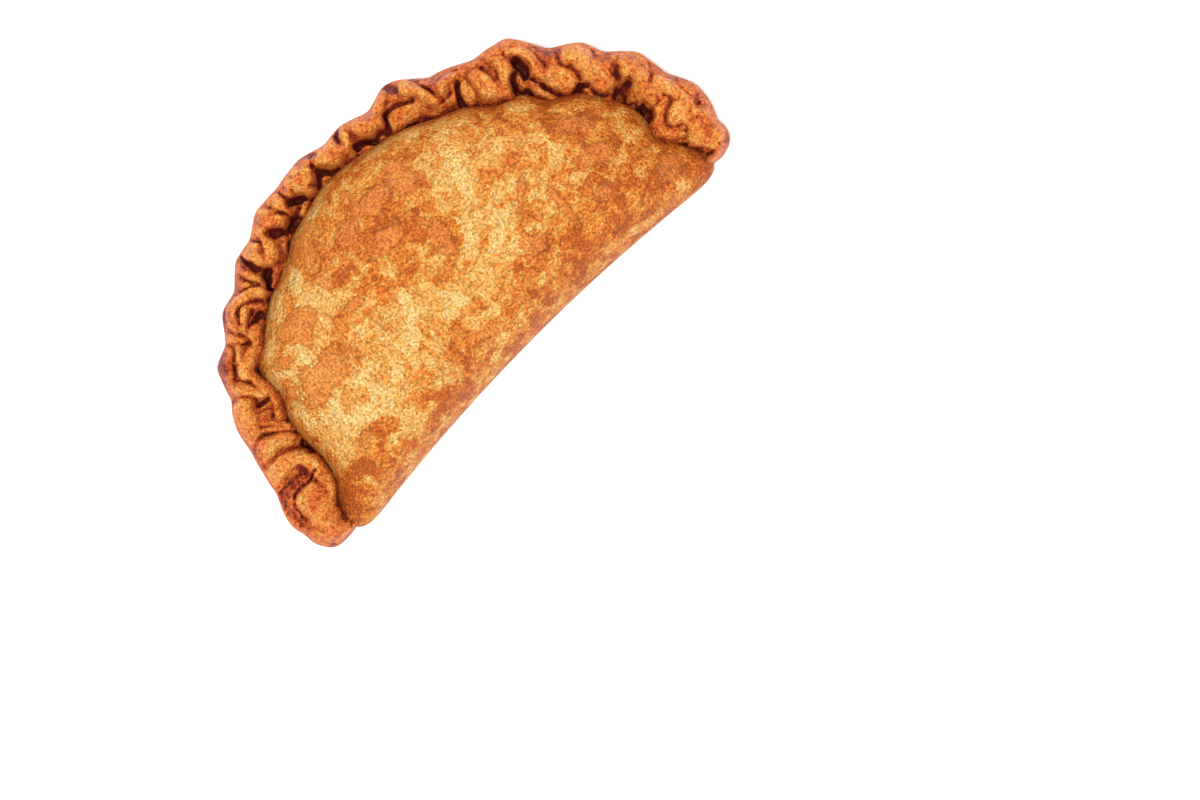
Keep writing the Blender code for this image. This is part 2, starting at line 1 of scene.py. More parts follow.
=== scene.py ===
"""A fried panzerotto: a puffed half-moon of dough with a deeply crumpled crimp.

Shapes are drawn in millimetres in the drawing frame: +X along the straight folded edge, +Y towards
the crimp, origin at the middle of the fold, Z up from the underside. The crimp is drawn in rim
coordinates: the station along a guide line round the rim, from the left corner to the right one,
and the depth inwards from that line.
"""

import math

import bpy
import numpy as np
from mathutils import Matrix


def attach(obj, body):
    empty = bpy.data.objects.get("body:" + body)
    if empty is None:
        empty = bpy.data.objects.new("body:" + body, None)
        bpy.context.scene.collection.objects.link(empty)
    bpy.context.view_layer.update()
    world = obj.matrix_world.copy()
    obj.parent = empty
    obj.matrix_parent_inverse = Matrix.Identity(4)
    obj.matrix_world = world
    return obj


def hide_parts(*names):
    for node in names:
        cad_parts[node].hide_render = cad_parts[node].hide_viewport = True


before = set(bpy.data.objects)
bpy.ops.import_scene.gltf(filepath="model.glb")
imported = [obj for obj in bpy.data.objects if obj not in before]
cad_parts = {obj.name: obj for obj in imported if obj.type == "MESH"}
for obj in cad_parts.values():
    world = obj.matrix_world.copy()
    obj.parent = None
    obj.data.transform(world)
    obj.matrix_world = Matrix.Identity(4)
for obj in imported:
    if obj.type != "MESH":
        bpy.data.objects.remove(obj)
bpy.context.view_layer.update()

MM = 0.001
MIDDLE = (1.2, 55.7)        # the row frame's origin in the drawing frame

# Guide line of the rim: half an ellipse, closed at both corners by a squarer curve.
GUIDE_CENTRE = (0.5, 20.0)
HALF_LENGTH = 110.0
RIM_RISE = 91.0
CORNER_DROP = 21.5
CORNER_SQUARENESS = 4.6
CORNER_TURN = 62.0          # degrees past the ends of the ellipse
GUIDE_STEPS = 2000
DIRECTION_BLUR = 121
OUTLINE_EASE, SEAM_EASE = 2.5, 3.0      # the lengths over which their corners are rounded

# Heights.
TOP_Z = 42.0                # middle of the pocket
CREST_Z = 26.0              # top of the crimp
EQUATOR_Z = 10.0            # widest level of the crimp
SEAM_Z = 10.0               # edge of the pocket under the crimp
FOLD_Z = 14.0               # widest level of the folded edge
BELLY_Z = 3.5               # underside of the crimp

# Pocket.
POCKET_CENTRE = (1.0, 46.0)
POCKET_POINTS = (520, 150, 26)  # round the pocket, down its top, down its underside
FOLD_HALF = 88.0            # half the length of the straight fold
FOLD_BOW = 5.5              # how far the fold is bowed in
FOLD_Y = -1.0
FLAT_SHARE = 0.84           # share of the underside that lies flat
SHOULDER = (2.8, 0.50)      # powers of the pocket's section, as in 1 - share^p, raised to q
ROUNDING = 0.16             # share of a turn over which the inner contours are evened out
SWELL_SIZE, SWELL = 26.0, 0.8
SKIN_SIZE, SKIN = 11.0, 0.42    # lumps of the crust: size of the largest, and strength
BLISTER_RISE = 0.7
BLISTER_BANK = 0.6          # how far a blister's side reaches in and out, in its half sizes
BLISTER_LUMPS, BLISTER_UNEVEN = 5.0, 0.34   # raggedness of its edge: size, and strength

# Crimp.
CRIMP_POINTS = (1120, 74)   # along the rim, across its top
UNDER_POINTS = 12           # round its outer underside
SURROUNDINGS = (11, 8)      # points along and across that a point's height is compared with
FIRST_STATION, LAST_STATION = 12.5, 389.0
NOSE_LENGTH = 14.0          # over which each end narrows to a nose inside the pocket
NOSE_DEPTH, NOSE_Z = 8.0, 8.0
NOSE_TIP = 0.1              # size of the section at the very end of a nose
CREST_SHARE = 0.42          # where the crest lies, from the outline (0) to the seam (1)
ROPE_FALL = 5.0             # how far the crimp comes down from crest to seam
OVERRUN = 1.15              # the top runs in under the pocket, to this share of the width
CROWDING = 0.35             # how much closer its points stand at the outline
UNDERCUT, UNDERCUT_SHARE = 9.0, 0.7     # the underside runs in this far, or this share at most
EDGE_SHARE = 0.14           # share of the width over which the relief grows at the outline
EDGE_RELIEF = 0.35          # part of the relief that is already there at the outline
FOLD_DEPTH = 4.8            # drop from a fold's ridge line to its shoulders
FULL_WIDTH = 2.6            # a fold narrower than this is shallower in proportion
ROUNDNESS = 2.6             # power of a fold's section
FULLNESS = 1.16             # the folds' half widths as drawn, swollen by this much
STEEPNESS = 2.2             # fall of a fold's sides, mm per mm
BLEND = 0.5                 # softness of the line where two folds meet
BODY_DEPTH = 3.6            # the dough between folds, below the rounded form
APRON = (0.15, 0.50)        # the shares between which the dough sinks to that depth
APRON_DEPTH = 1.6
SEAM_DEPTH = 5.0            # how much further it sinks at the seam
SEAM_SHARES = (0.70, 0.95)  # the shares between which it does
LOWEST, FLOOR_Z = 17.0, 7.0
REACH = 12.0                # how far a fold or a cut is felt along the rim

# Wrinkles of the crimp: size and strength.
CREASE_SIZE, CREASE = 3.2, 1.0
CREASE_DRAWN = 0.35         # depth counts this much, which draws the creases out across the rim
CREASE_SHARES = (0.10, 0.45)    # the shares between which the creases die away
CRUMPLE_SIZE, CRUMPLE = 4.6, 1.1
CRUMPLE_DRAWN = 0.6
PIMPLE_SIZE, PIMPLE = 2.0, 0.30

# Floor, and the view: the width it shows at a height, the place at its middle, its turn in degrees.
FLOOR_SIDE, FLOOR_GAP = 6000.0, 0.4
VIEW_WIDTH, VIEW_PLANE_Z = 439.0, 15.0
VIEW_CENTRE = (3.7, -28.75)
VIEW_TURN = -45.4
LENS, SENSOR = 100.0, 36.0

# Lights: strength, the way it shines, width in degrees, colour.
KEY = (2.0, (0.2, 0.03, -1.2), 8, (1.0, 0.98, 0.95))
FILL = (0.4, (-0.6, 0.3, -1.0), 60, (0.97, 0.98, 1.0))
SKY_STRENGTH = 1.08

# Unevenness of the crimp: cell size and strength of each layer of noise.
BEND = ((8.0, 0.7), (3.6, 0.45))
LUMPS = ((5.0, 0.7), (2.3, 0.25))
STEEPER = ((9.0, 1.2),)
BODY_LUMPS = ((5.5, 1.2),)
RAGGED = ((4.5, 0.6), (2.2, 0.6))

# Outline of the crimp: station, depth. Bulges stand outside the guide line, notches inside it.
OUTLINE = (
    (0, -1.5), (14, -2.0), (23, -2.2), (29, 0.3), (36, 1.9), (42, 0.6), (48, 1.7), (55, 4.4),
    (67, 4.2), (75, 3.6), (84, 1.3), (91, 1.0), (95.5, 1.7), (103, -1.2), (108, -3.0), (116.5, 0.4),
    (128, -2.8), (136, 0.2), (147, -3.0), (156, -0.9), (166, -3.7), (177, -1.6), (190, -1.5),
    (200, 2.0), (209, 0.9), (221, 3.8), (231, -1.4), (236, -0.4), (247, 4.4), (255, 3.7),
    (265, 4.2), (279, -1.4), (294.5, 4.2), (307, 0.9), (316, 3.3), (328, -0.6), (341, 2.1),
    (353, -1.2), (361, 0.3), (368, 3.2), (377, -0.6), (385, -2.6), (396, -1.8),
)

# Seam between crimp and pocket: station, depth.
SEAM = (
    (4, -1.8), (12, -1.0), (18, 4), (24, 14), (30, 18.5), (38, 22.5), (50, 26), (62, 25),
    (72, 22.5), (82, 20.5), (92, 19.5), (100, 15), (107, 12), (116, 14), (136, 13.5), (145, 15),
    (155, 14.5), (163, 12.5), (175, 12.5), (188, 11.5), (200, 12.8), (215, 15), (230, 16.5),
    (244, 19), (258, 19.5), (272, 22.5), (285, 20), (297, 23.5), (310, 19.5), (332, 19),
    (342, 19.5), (354, 23.5), (364, 20), (373, 17), (379, 11), (384, 4), (389, -1), (397, -1.8),
)

# Folds of the crimp: lift over the rim's rounded form, then the ridge line as (station, depth,
# half width) rows.
FOLDS = (
    (0.4, (20, 1, 3.0), (23, 7, 4.6), (30, 12.5, 5.6), (37, 14.4, 6.2), (43.4, 14.8, 5.8)),
    (-1, (26, 3, 3.4), (33, 3.6, 3.4), (40, 2.5, 2.6), (50, 1.8, 2.4), (55, 4.6, 2.2), (58, 9, 2.0)),
    (0, (38, 20.5, 2.0), (46, 22.6, 2.6), (54, 23.2, 2.9), (61, 21.5, 3.0)),
    (0, (59, 3, 3.4), (61, 8, 3.8), (63.5, 14, 3.6), (63, 18, 3.2)),
    (0.6, (69, 4, 3.2), (71.5, 9, 3.8), (73.2, 14, 3.8), (72, 19, 3.2)),
    (-2, (80.2, 12, 1.3), (78.3, 17, 1.3), (75.5, 22, 1.2)),
    (-2.5, (83.5, 12, 1.4), (81, 17, 1.4), (78, 21.2, 1.2)),
    (1.6, (80, 6.4, 4.0), (86, 6.2, 4.6), (91.3, 5.8, 3.8)),
    (-3, (85.5, 14, 2.4), (86.5, 17, 2.2)),
    (0.5, (84, 18.8, 1.6), (90, 19.2, 2.0), (95.5, 17.2, 2.1), (99.5, 13.6, 2.1), (103, 10.2, 2.1)),
    (0.4, (99, 2.5, 2.2), (97.3, 8, 2.2), (94.5, 14, 2.0)),
    (-0.4, (101, 1.8, 2.8), (107.5, 0.6, 3.2), (113, 2, 2.6)),
    (0.6, (103, 8.6, 2.3), (107, 8.6, 2.8), (111, 10.8, 2.8), (117, 12.6, 1.9), (122.5, 11.6, 2.0)),
    (0.8, (109, 7, 1.2), (114.6, 6.8, 1.2)),
    (0.4, (118, 0.8, 1.7), (118.8, 4.6, 1.8), (117.3, 8, 1.2)),
    (1.8, (119.8, 9.2, 1.2), (121.5, 6.2, 1.4), (124.5, 3, 1.8), (128.5, 1.4, 2.1), (132, 2.4, 2.0),
     (134.4, 6, 2.1), (137, 10, 2.5)),
    (0.6, (119, 10.4, 1.2), (122, 7.9, 1.3), (126, 6.8, 1.3), (130.6, 6.5, 1.4)),
    (-1.6, (132, 8.6, 1.8), (132.2, 12, 2.0)),
    (-0.8, (137.8, 1, 2.4), (139.3, 5, 1.6)),
    (0.4, (145, -0.6, 2.2), (143.6, 4, 2.1), (142.8, 7.6, 1.7)),
    (-5, (141, 14, 1.5), (149, 13.5, 1.6), (156, 12.6, 1.6), (162, 10.6, 1.4)),
    (1.2, (150, 2, 2.4), (149.9, 7, 2.5), (151.4, 9.2, 2.5), (155, 8.6, 2.5), (158.5, 6.2, 2.4),
     (160.3, 3, 2.4)),
    (0.8, (153.3, 0, 2.4), (153.3, 4, 2.2)),
    (0, (160, -0.6, 3.0), (161.5, 2.5, 2.6)),
    (1.0, (165.4, -1, 3.4), (166.6, 4, 3.2), (168, 7.3, 2.3)),
    (0.3, (172.8, 1, 2.2), (172.5, 4.4, 2.4), (173.3, 7.4, 1.7)),
    (-0.8, (177.2, 0.5, 2.2), (177.4, 3.6, 1.9)),
    (-4, (170.6, 13.4, 1.3), (174, 12.1, 1.5), (177.6, 11.1, 1.2)),
    (1.4, (181.5, 0.5, 3.4), (184.8, 3.4, 5.0), (184, 6, 4.4)),
    (0.2, (187, 1, 3.0), (191, 2.4, 2.6)),
    (-5, (189.6, 11.6, 1.8), (191.4, 11.6, 1.8)),
    (1.2, (194.3, 5.6, 2.4), (197.6, 7.4, 3.6), (202, 8, 3.4)),
    (0.2, (197, 3.4, 2.2), (203, 4.4, 2.4)),
    (1.2, (211, 3.4, 1.8), (208.4, 6.4, 1.9), (205.4, 9.8, 1.9)),
    (1.6, (212, 4, 2.2), (215, 6.2, 3.2), (218.4, 8.4, 3.7), (220.8, 9.4, 3.0)),
    (0, (214, 3.4, 2.4), (220, 5.2, 2.4), (223.4, 6, 2.0)),
    (-6, (209.5, 13.6, 1.1), (214, 15.4, 1.2), (218.5, 16.7, 1.2), (224, 16.3, 1.2)),
    (0.8, (223.6, 7.8, 1.6), (225.6, 5, 2.3), (228.4, 2.4, 2.6)),
    (-2.4, (232, 1.4, 3.0), (232.6, 5, 3.2)),
    (-5.6, (227, 13.2, 2.6), (232, 12.6, 3.0), (238, 13.2, 3.0), (243.5, 15.8, 2.6)),
    (1.4, (238, 2.4, 2.6), (238, 6, 2.4), (241.4, 8.4, 1.8), (243.4, 12, 1.8), (246, 14.2, 1.4)),
    (-0.4, (247, 7.6, 3.2), (249, 10.6, 2.8)),
    (0.8, (251.3, 11.6, 2.2), (254, 9, 2.3), (257, 9.2, 1.9)),
    (-0.4, (251, 6, 2.4), (258, 6.6, 2.4), (266, 8, 2.6)),
    (-4, (250.4, 15.7, 1.6), (254.4, 15.3, 1.9)),
    (-0.4, (260.4, 13.8, 2.3), (261.3, 17.4, 2.6)),
    (1.6, (266, 12, 2.6), (268.2, 15, 3.8), (272, 17.8, 3.4), (278.6, 20, 1.9)),
    (0.6, (272.6, 4.4, 3.4), (278, 3.2, 3.6)),
    (1.2, (275.8, 8.4, 2.4), (277.8, 12, 2.7), (277.9, 15.4, 2.3)),
    (1.4, (279.8, 6.4, 1.5), (283.5, 5.7, 1.8), (287, 7.4, 2.0), (290, 11, 2.2), (293, 15, 2.3)),
    (0, (281, 1.8, 2.0), (286, 2.6, 2.4), (291, 5, 2.8), (295, 8, 3.0)),
    (-5, (285.6, 16.6, 1.3), (289, 18, 1.5), (292.6, 20.5, 1.5), (298, 22.6, 1.5), (303, 23, 1.1)),
    (-0.8, (294.5, 8, 3.0), (297, 11, 3.0)),
    (0.8, (302, 4.4, 2.4), (302.6, 8, 2.6)),
    (0.8, (297, 14.2, 3.6), (301, 16, 4.4), (306, 17, 3.8)),
    (2.0, (306, 6, 3.6), (311, 10, 4.0), (316, 12.8, 4.0), (321.4, 14.6, 3.2)),
    (-1.0, (315.4, 5.6, 3.0), (320.4, 10, 2.8)),
    (-5, (314.6, 19, 1.1), (320, 20, 1.2), (324, 19.4, 1.3), (329, 20.6, 1.1)),
    (1.0, (322.6, 4.4, 3.4), (327.8, 6.4, 4.2)),
    (1.4, (332, 8.4, 3.4), (337, 11.4, 4.0), (342, 13, 3.4)),
    (-0.6, (338.4, 2.8, 2.8), (341, 3.4, 2.4)),
    (1.4, (340.4, 7.4, 2.6), (346, 7.2, 2.9), (352, 7.8, 2.9), (359.4, 7.6, 3.0)),
    (-0.3, (345, 2.4, 2.8), (351, 1.6, 3.0), (359.4, 2.8, 3.2)),
    (2.4, (355.2, 12.0, 5.4), (356.2, 12.6, 5.4)),
    (-0.4, (346.4, 12.4, 1.6), (347.2, 16, 2.1), (350, 19.8, 2.3), (354.6, 21.2, 2.1),
     (359.6, 19.8, 1.9), (362.6, 17.4, 1.5)),
    (1.0, (364.4, 11.4, 3.4), (368, 13, 4.0), (373, 13, 3.5), (377, 10, 2.8), (380, 6, 2.4)),
    (0, (363, 5.4, 3.4), (370, 6.6, 3.4), (376, 4, 3.6)),
    (0, (381, 1.2, 3.6), (388, 2.6, 3.4)),
)

# Hollows and creases cut between the folds: depth, half width, bank beside it, then the line.
CUTS = (
    (3, 0.5, 1.0, (41, 7.2), (47, 7.8), (51, 12), (52, 21.4)),
    (3, 1.5, 3.6, (50.5, 6.4), (54, 10), (54.6, 17)),
    (2.2, 1, 2.9, (41, 5.8), (45, 5.4), (49, 5.6)), (7.5, 1.2, 1.8, (62, 24.6), (67, 24.2)),
    (1.3, 0.4, 0.6, (77, 8.6), (78.2, 13), (76, 19), (73, 23)),
    (4, 0.4, 1.1, (90.2, 12.4), (91.8, 15)), (1.3, 0.4, 0.6, (94, 2.8), (95, 8), (93, 12)),
    (1.1, 0.4, 0.6, (100.4, 5), (100.2, 10)),
    (2.5, 0.5, 0.9, (84, 21.6), (90, 21.9), (97, 20.4), (101, 16.4), (104.6, 12.6)),
    (1, 0.4, 0.7, (102.5, 4.4), (106, 5.3), (110, 5.5), (114, 5)),
    (0.7, 0.3, 0.5, (109.5, 8.4), (114, 8.3)),
    (3.4, 0.5, 1.0, (115.6, 8.8), (117, 10.2), (119, 8.8), (120.3, 7)),
    (1.1, 0.4, 0.6, (121, 6), (122.6, 3.2), (125, 0.8)), (3, 0.4, 1.0, (125, 10.6), (129.6, 11.6)),
    (1.5, 0.4, 0.6, (121.8, 7), (126, 5), (129.6, 4.3), (131.6, 5.6), (133.4, 9), (134.4, 13)),
    (1.1, 0.4, 0.6, (124, 9), (130, 8.9)),
    (1.5, 0.5, 0.7, (121, 14.6), (128, 14.3), (135, 14.3), (139, 13.2)),
    (1.1, 0.4, 0.6, (139.5, 3.6), (141.3, 8.6)),
    (2.5, 0.5, 0.7, (148.4, -1), (147.1, 3), (147.2, 9)),
    (7.5, 0.9, 1.4, (139.5, 12.3), (143.5, 11.1), (147.3, 10)),
    (1.9, 0.5, 0.6, (156, -1), (156.3, 4.6)), (1, 0.3, 0.6, (151, 7.4), (154, 6.1), (158.5, 3)),
    (4.5, 1.2, 1.8, (161.4, 6.6), (163.6, 9)),
    (1.9, 0.5, 0.6, (168.5, 3.5), (170.3, 6.5), (170.8, 9.6)),
    (1, 0.4, 0.6, (170, 1.2), (173, -0.6)), (0.7, 0.4, 0.7, (175.4, 0.6), (175.8, 5)),
    (8.5, 0.9, 1.7, (175.3, 7), (178.2, 8.4)), (9.8, 1.4, 1.8, (167.6, 11.8), (170, 11.2)),
    (4.5, 0.6, 1.6, (163.5, 9.6), (167, 11.3)), (4.5, 0.6, 1.6, (171, 10.4), (175, 9.2)),
    (1.5, 0.5, 0.7, (195, 2.4), (192, 5), (190.2, 7)),
    (6.8, 0.8, 1.9, (186.5, 9.9), (190, 8.4), (194, 10), (197, 12.2)),
    (2.2, 0.8, 1.2, (208.3, 2.3), (205.5, 6)),
    (6.8, 0.6, 1.5, (209, 11), (213.4, 11.7), (218, 13.2), (222.5, 13.6), (225.6, 10.6)),
    (2.2, 0.8, 1.8, (231.8, 1), (233, 3.6)), (3.0, 0.4, 1.1, (227, 9.6), (232, 9.2), (238, 10.2)),
    (3.8, 0.8, 1.2, (231.6, 16.5), (234.6, 17.3)),
    (1.5, 0.5, 0.6, (241.5, 2.4), (243.5, 7), (246, 11)),
    (0.7, 0.3, 0.5, (255, 7.3), (260, 7.7), (267.5, 9.8)),
    (1.0, 0.3, 0.9, (259.4, 10.6), (260.4, 11.6)),
    (1.3, 0.5, 0.7, (247.5, 15), (251, 14), (254.5, 13.2), (256.5, 12.2)),
    (6.5, 0.5, 1.5, (257.4, 12.2), (256.6, 16), (257.8, 20)),
    (0.7, 0.3, 0.7, (263.4, 12), (265.6, 20)),
    (1.5, 0.3, 1.1, (268, 9), (271, 11.6), (273.6, 15.4)),
    (1.5, 0.4, 0.7, (274.6, 17), (276.6, 18.6), (279.6, 18.4)),
    (0.5, 0.3, 0.6, (281, 3.4), (285, 3), (290, 4.6)),
    (9.0, 0.9, 2.2, (282.6, 9.8), (285, 11.2), (287, 13.4)),
    (6.0, 0.5, 1.3, (282.6, 13), (281.4, 16), (282, 19)),
    (3.4, 0.5, 0.7, (289.6, 15.6), (293.6, 18), (298, 20.3), (303, 21.8)),
    (3.4, 0.5, 0.7, (282, 19.4), (287, 20), (292, 23.3), (297, 25)),
    (1, 0.4, 0.7, (303, 9.8), (307, 12.8), (311, 16.5)),
    (6.8, 0.7, 1.3, (308.5, 20.6), (311, 19.3), (314.5, 17.5)),
    (0.7, 0.3, 0.7, (311.5, 5), (316, 9), (320, 11.2), (325, 13.8)),
    (1.9, 0.4, 0.6, (315, 17.6), (320, 18.8), (325, 17.7)),
    (6, 1.7, 2.4, (330, 13.6), (328, 17), (331, 18.5)),
    (1.5, 0.3, 1.2, (323.6, 8.2), (326, 12), (327.5, 16)),
    (1.2, 0.3, 0.9, (334.4, 2.4), (337, 6), (339, 9.4)),
    (8.2, 1.1, 1.7, (340.5, 18), (343.5, 18.8), (346, 19.6)),
    (2.5, 0.5, 0.7, (333, 17.6), (338, 17.8)), (0.5, 0.3, 0.6, (344, 4.9), (352, 5.1)),
    (0.9, 0.3, 1.3, (355.4, 1.6), (357, 4.6), (359.6, 5.2)),
    (1.1, 0.4, 0.7, (342.6, 11.4), (344.6, 13.5), (344.8, 16.4)),
    (1.7, 0.4, 0.6, (349.4, 12.4), (351, 16.2), (354.3, 18.3), (358.3, 17.8), (361.3, 14)),
    (3.4, 0.5, 0.9, (365.5, 19.6), (371, 18.6), (375.5, 16.4), (379, 12.5), (381, 8.5), (383, 4.5)),
)

# Deeply browned places of the crimp, with painted shade under folds and in slits, and pale places, with
# painted highlights on lit pads. Columns: station, depth, reach along, reach across, strength.
BROWNED_AND_SHADED = (
    (35, 6, 4, 3, 0.45), (43, 18.5, 2.5, 1.5, 0.5), (54, 9, 3, 6, 0.45), (47, 5, 4, 2, 0.35),
    (73, 7, 2.5, 2.5, 0.7), (86, 16.5, 3, 2.5, 0.6), (102, 2, 6, 3, 0.6), (109, 0.5, 5, 3, 1.0),
    (126, -1, 5, 2.5, 0.9), (132.3, 11, 2, 3, 0.8), (127, 9, 4, 1, 0.6), (138, 1, 3, 3, 0.6),
    (146, 2, 2.5, 4, 0.8), (146.5, 7, 1, 3, 0.7), (151, 14, 12, 1.3, 0.6), (162, 8, 3, 2, 0.8),
    (173, 7, 2, 2, 0.6), (177, 3.5, 2, 3, 0.6), (178, 13, 1.3, 1, 0.7), (191, 1, 4, 2, 0.7),
    (192.5, 5, 2, 2, 0.5), (207, 4, 1.8, 2.5, 0.8), (212, 11, 4, 2, 0.7), (221, 7, 2, 1.5, 0.5),
    (232, 2.4, 4, 3.4, 0.8), (242.3, 4, 1.5, 3, 0.8), (247.5, 8, 4, 4, 0.5), (261, 7.5, 7, 2, 0.5),
    (268, 9.5, 4, 2, 0.5), (280, 10, 2, 3, 0.5), (287, 16, 3, 2, 0.6), (293, 6, 5, 5, 0.6),
    (296, 9, 3, 3, 0.6), (308.5, 15, 2, 3, 0.5), (317, 7, 3.5, 4, 0.7), (323, 11.5, 3, 2, 0.6),
    (338, 4, 3, 3, 0.7), (343.5, 12.5, 2, 1.5, 0.6), (346, 2.5, 4, 2.5, 0.5), (357.5, 4, 3, 2, 1.0),
    (352, 20, 5, 2, 0.3), (379, 1, 6, 3, 0.5), (383, 8, 1.5, 5, 0.6), (14, 2, 7, 6, 0.2),
    (22, 3, 4, 5, 0.3),
)
PALE_AND_LIT = (
    (33, 14, 6, 5, 0.4), (48, 11, 3, 4, 0.5), (53, 16, 1.5, 2, 0.6), (62, 9, 4, 3, 0.5),
    (57, 23, 6, 2, 0.4), (72.5, 15, 3, 4, 0.6), (87, 7, 5, 3, 0.3), (95.5, 10, 2, 5, 0.5),
    (104.5, 8, 2.5, 1.5, 0.5), (113.5, 3, 1.5, 1, 0.5), (112, 7, 2.5, 0.8, 0.7),
    (118.5, 4, 1.3, 3, 0.4), (125, 7, 5, 1, 0.8), (129, 2.5, 3, 1, 0.3), (134.5, 5, 1.5, 3, 0.7),
    (137, 9, 2, 2.5, 0.5), (149, 5, 1.3, 4, 0.6), (157, 8, 3, 2, 0.5), (160, 1, 2, 3, 0.4),
    (166.5, -1, 2.5, 2, 0.3), (172.5, 3, 1.8, 1.2, 0.5), (173.5, 12.5, 3, 1, 0.6),
    (184.5, 3, 3.5, 3, 0.3), (196, 7, 4, 3, 0.5), (207.5, 7, 1.8, 2, 0.6),
    (213.5, 8.5, 2, 1.5, 0.5), (216, 6, 3.5, 2.5, 0.4), (227, 3.5, 2, 2, 0.4), (234, 13, 8, 2, 0.2),
    (239, 4, 2, 3, 0.5), (242.5, 9.5, 1.2, 3, 0.8), (251, 11.5, 1.5, 1.5, 0.5), (255, 8, 2, 1, 0.4),
    (262, 16, 2, 3, 0.3), (270, 17.5, 5, 2.5, 0.9), (268, 13, 2.5, 1.5, 0.4),
    (277.5, 14, 1.5, 4, 0.4), (283, 5.8, 2.5, 1, 0.8), (288.5, 8.8, 1.8, 2, 0.5),
    (300, 15.5, 3, 2, 0.8), (306, 7, 2.5, 3, 0.8), (314, 12, 5, 3, 1.0), (309, 8.5, 1, 0.8, 0.6),
    (327.5, 9.8, 1.5, 1.2, 0.6), (332, 8, 3, 3, 0.3), (345.5, 7.5, 4, 2.2, 0.8),
    (355.5, 12, 4, 3, 0.3), (346.5, 12.5, 1, 1.5, 0.4), (371, 13, 5, 1.8, 1.2),
    (364, 14, 3, 3, 0.4), (384.5, 8, 1.5, 2.5, 0.6), (198.5, 12.8, 0.7, 0.8, 1.5),
)

# Blisters of the pocket's crust, raised and browned: x, y, half length, half width, turn in degrees.
BLISTERS = (
    (-54.5, 67.0, 7.5, 6.5, -40), (-59.5, 48.0, 11.5, 6.5, -15), (-69.0, 44.5, 5.0, 2.5, -25),
    (-68.0, 63.0, 4.5, 3.0, -30), (-72.5, 53.0, 3.0, 2.0, -10), (-32.5, 85.0, 7.0, 5.0, 20),
    (-18.0, 78.0, 6.0, 4.0, 30), (-2.0, 79.0, 7.0, 4.5, -20), (10.5, 79.0, 4.5, 8.0, -15),
    (-9.0, 66.0, 8.0, 4.0, 5), (5.5, 52.5, 4.0, 6.5, -15), (-1.5, 43.5, 4.0, 1.8, 15),
    (-32.5, 57.8, 3.5, 2.0, -20), (-36.0, 71.5, 2.0, 3.5, 20), (-65.0, 22.0, 4.0, 2.0, 20),
    (36.0, 43.0, 8.0, 1.8, 45), (44.0, 30.0, 1.8, 9.0, -5), (65.0, 34.0, 8.0, 4.5, -20),
    (58.0, 23.0, 4.5, 2.8, 25), (68.0, 48.0, 8.0, 3.5, -35), (43.5, 82.0, 4.5, 2.5, -30),
    (81.5, 13.0, 5.5, 4.0, 0), (-31.0, 44.0, 2.0, 1.4, 0), (27.0, 27.0, 5.5, 4.5, 20),
)

# Browner (over 0) and paler (under 0) places of the pocket's crust. Among them are painted shade by the
# left corner and down the right shoulder, and a painted highlight right of the top. Columns: x, y,
# reach in x and y, strength.
TONES_AND_SHADE = (
    (-10, 74, 25, 16, 0.75), (6, 51, 4, 6, 0.5), (15, 70, 2, 4, 0.4), (-33, 60, 5, 6, 0.3),
    (-62, 56, 15, 15, -0.35), (-43, 72, 4, 8, -0.6), (-28, 46, 18, 4, -0.7), (-75, 58, 3, 4, -0.6),
    (21, 61, 9, 10, -0.7), (38, 61, 5, 5, -0.6), (-15, 86, 4, 3, -0.4), (-57, 31, 18, 8, -0.7),
    (-15, 35, 22, 6, -0.8), (-68, 15, 12, 8, 0.15), (-38, 18, 6, 4, 0.5), (-7, 22, 5, 5, 0.5),
    (28, 23, 9, 7, 0.4), (70, 40, 14, 16, 0.4), (82, 14, 7, 5, 0.5), (50, 76, 12, 6, 0.4),
    (70, 60, 10, 6, 0.4), (-82, 12, 5, 9, 0.7), (-79, 33, 2.5, 8, 0.6), (90, 5, 6, 5, 0.4),
    (0, 10, 70, 5, 0.25), (-30, 95, 16, 5, -0.3), (20, 93, 22, 5, -0.3), (45, 12, 20, 4, 0.2),
    (54, 50, 5, 5, -0.3),
)

# Painted shade: places of the pocket beside the corners made evenly darker where the crimp's ends shade
# them. Columns: x, y, reach in x and y, strength.
SHADED = ((-86, 8, 7, 14, 0.18), (-74, 32, 4, 6, 0.12), (91, 4, 6, 8, 0.12))


def unit(vectors):
    """Each vector divided by its length."""
    return vectors / np.linalg.norm(vectors, axis=-1, keepdims=True)


def rim_guide():
    """The guide line as stations, points and inward directions, evenly spaced along it.

    The line is (a cos t, b sin t) over the rim and (a cos^(2/n) t, c sin^(2/n) t) at the corners.
    Inward is halfway between the line's own normal and the way to its centre, blurred along the
    line so that neighbouring directions do not cross inside the tight corners.
    """
    turn = np.radians(np.linspace(180 + CORNER_TURN, -CORNER_TURN, 2 * GUIDE_STEPS))
    cos, sin = np.cos(turn), np.sin(turn)
    square = 2 / CORNER_SQUARENESS
    x = HALF_LENGTH * np.where(sin >= 0, cos, np.sign(cos) * np.abs(cos) ** square)
    y = np.where(sin >= 0, RIM_RISE * sin, -CORNER_DROP * np.abs(sin) ** square)
    line = np.stack([x, y], 1) + GUIDE_CENTRE
    steps = np.linalg.norm(np.diff(line, axis=0), axis=1)
    along = np.concatenate([[0], np.cumsum(steps)])
    stations = np.linspace(0, along[-1], GUIDE_STEPS)
    points = np.stack([np.interp(stations, along, line[:, i]) for i in range(2)], 1)
    tangent = unit(np.gradient(points, axis=0))
    normal = np.stack([tangent[:, 1], -tangent[:, 0]], 1)
    inward = unit(normal + unit(GUIDE_CENTRE - points))
    half = DIRECTION_BLUR // 2
    window = np.hanning(DIRECTION_BLUR)
    padded = np.pad(inward, ((half, half), (0, 0)), mode="edge")
    blurred = [np.convolve(padded[:, i], window / window.sum(), "valid") for i in range(2)]
    return stations, points, unit(np.stack(blurred, 1))


STATIONS, GUIDE_POINTS, INWARD = rim_guide()


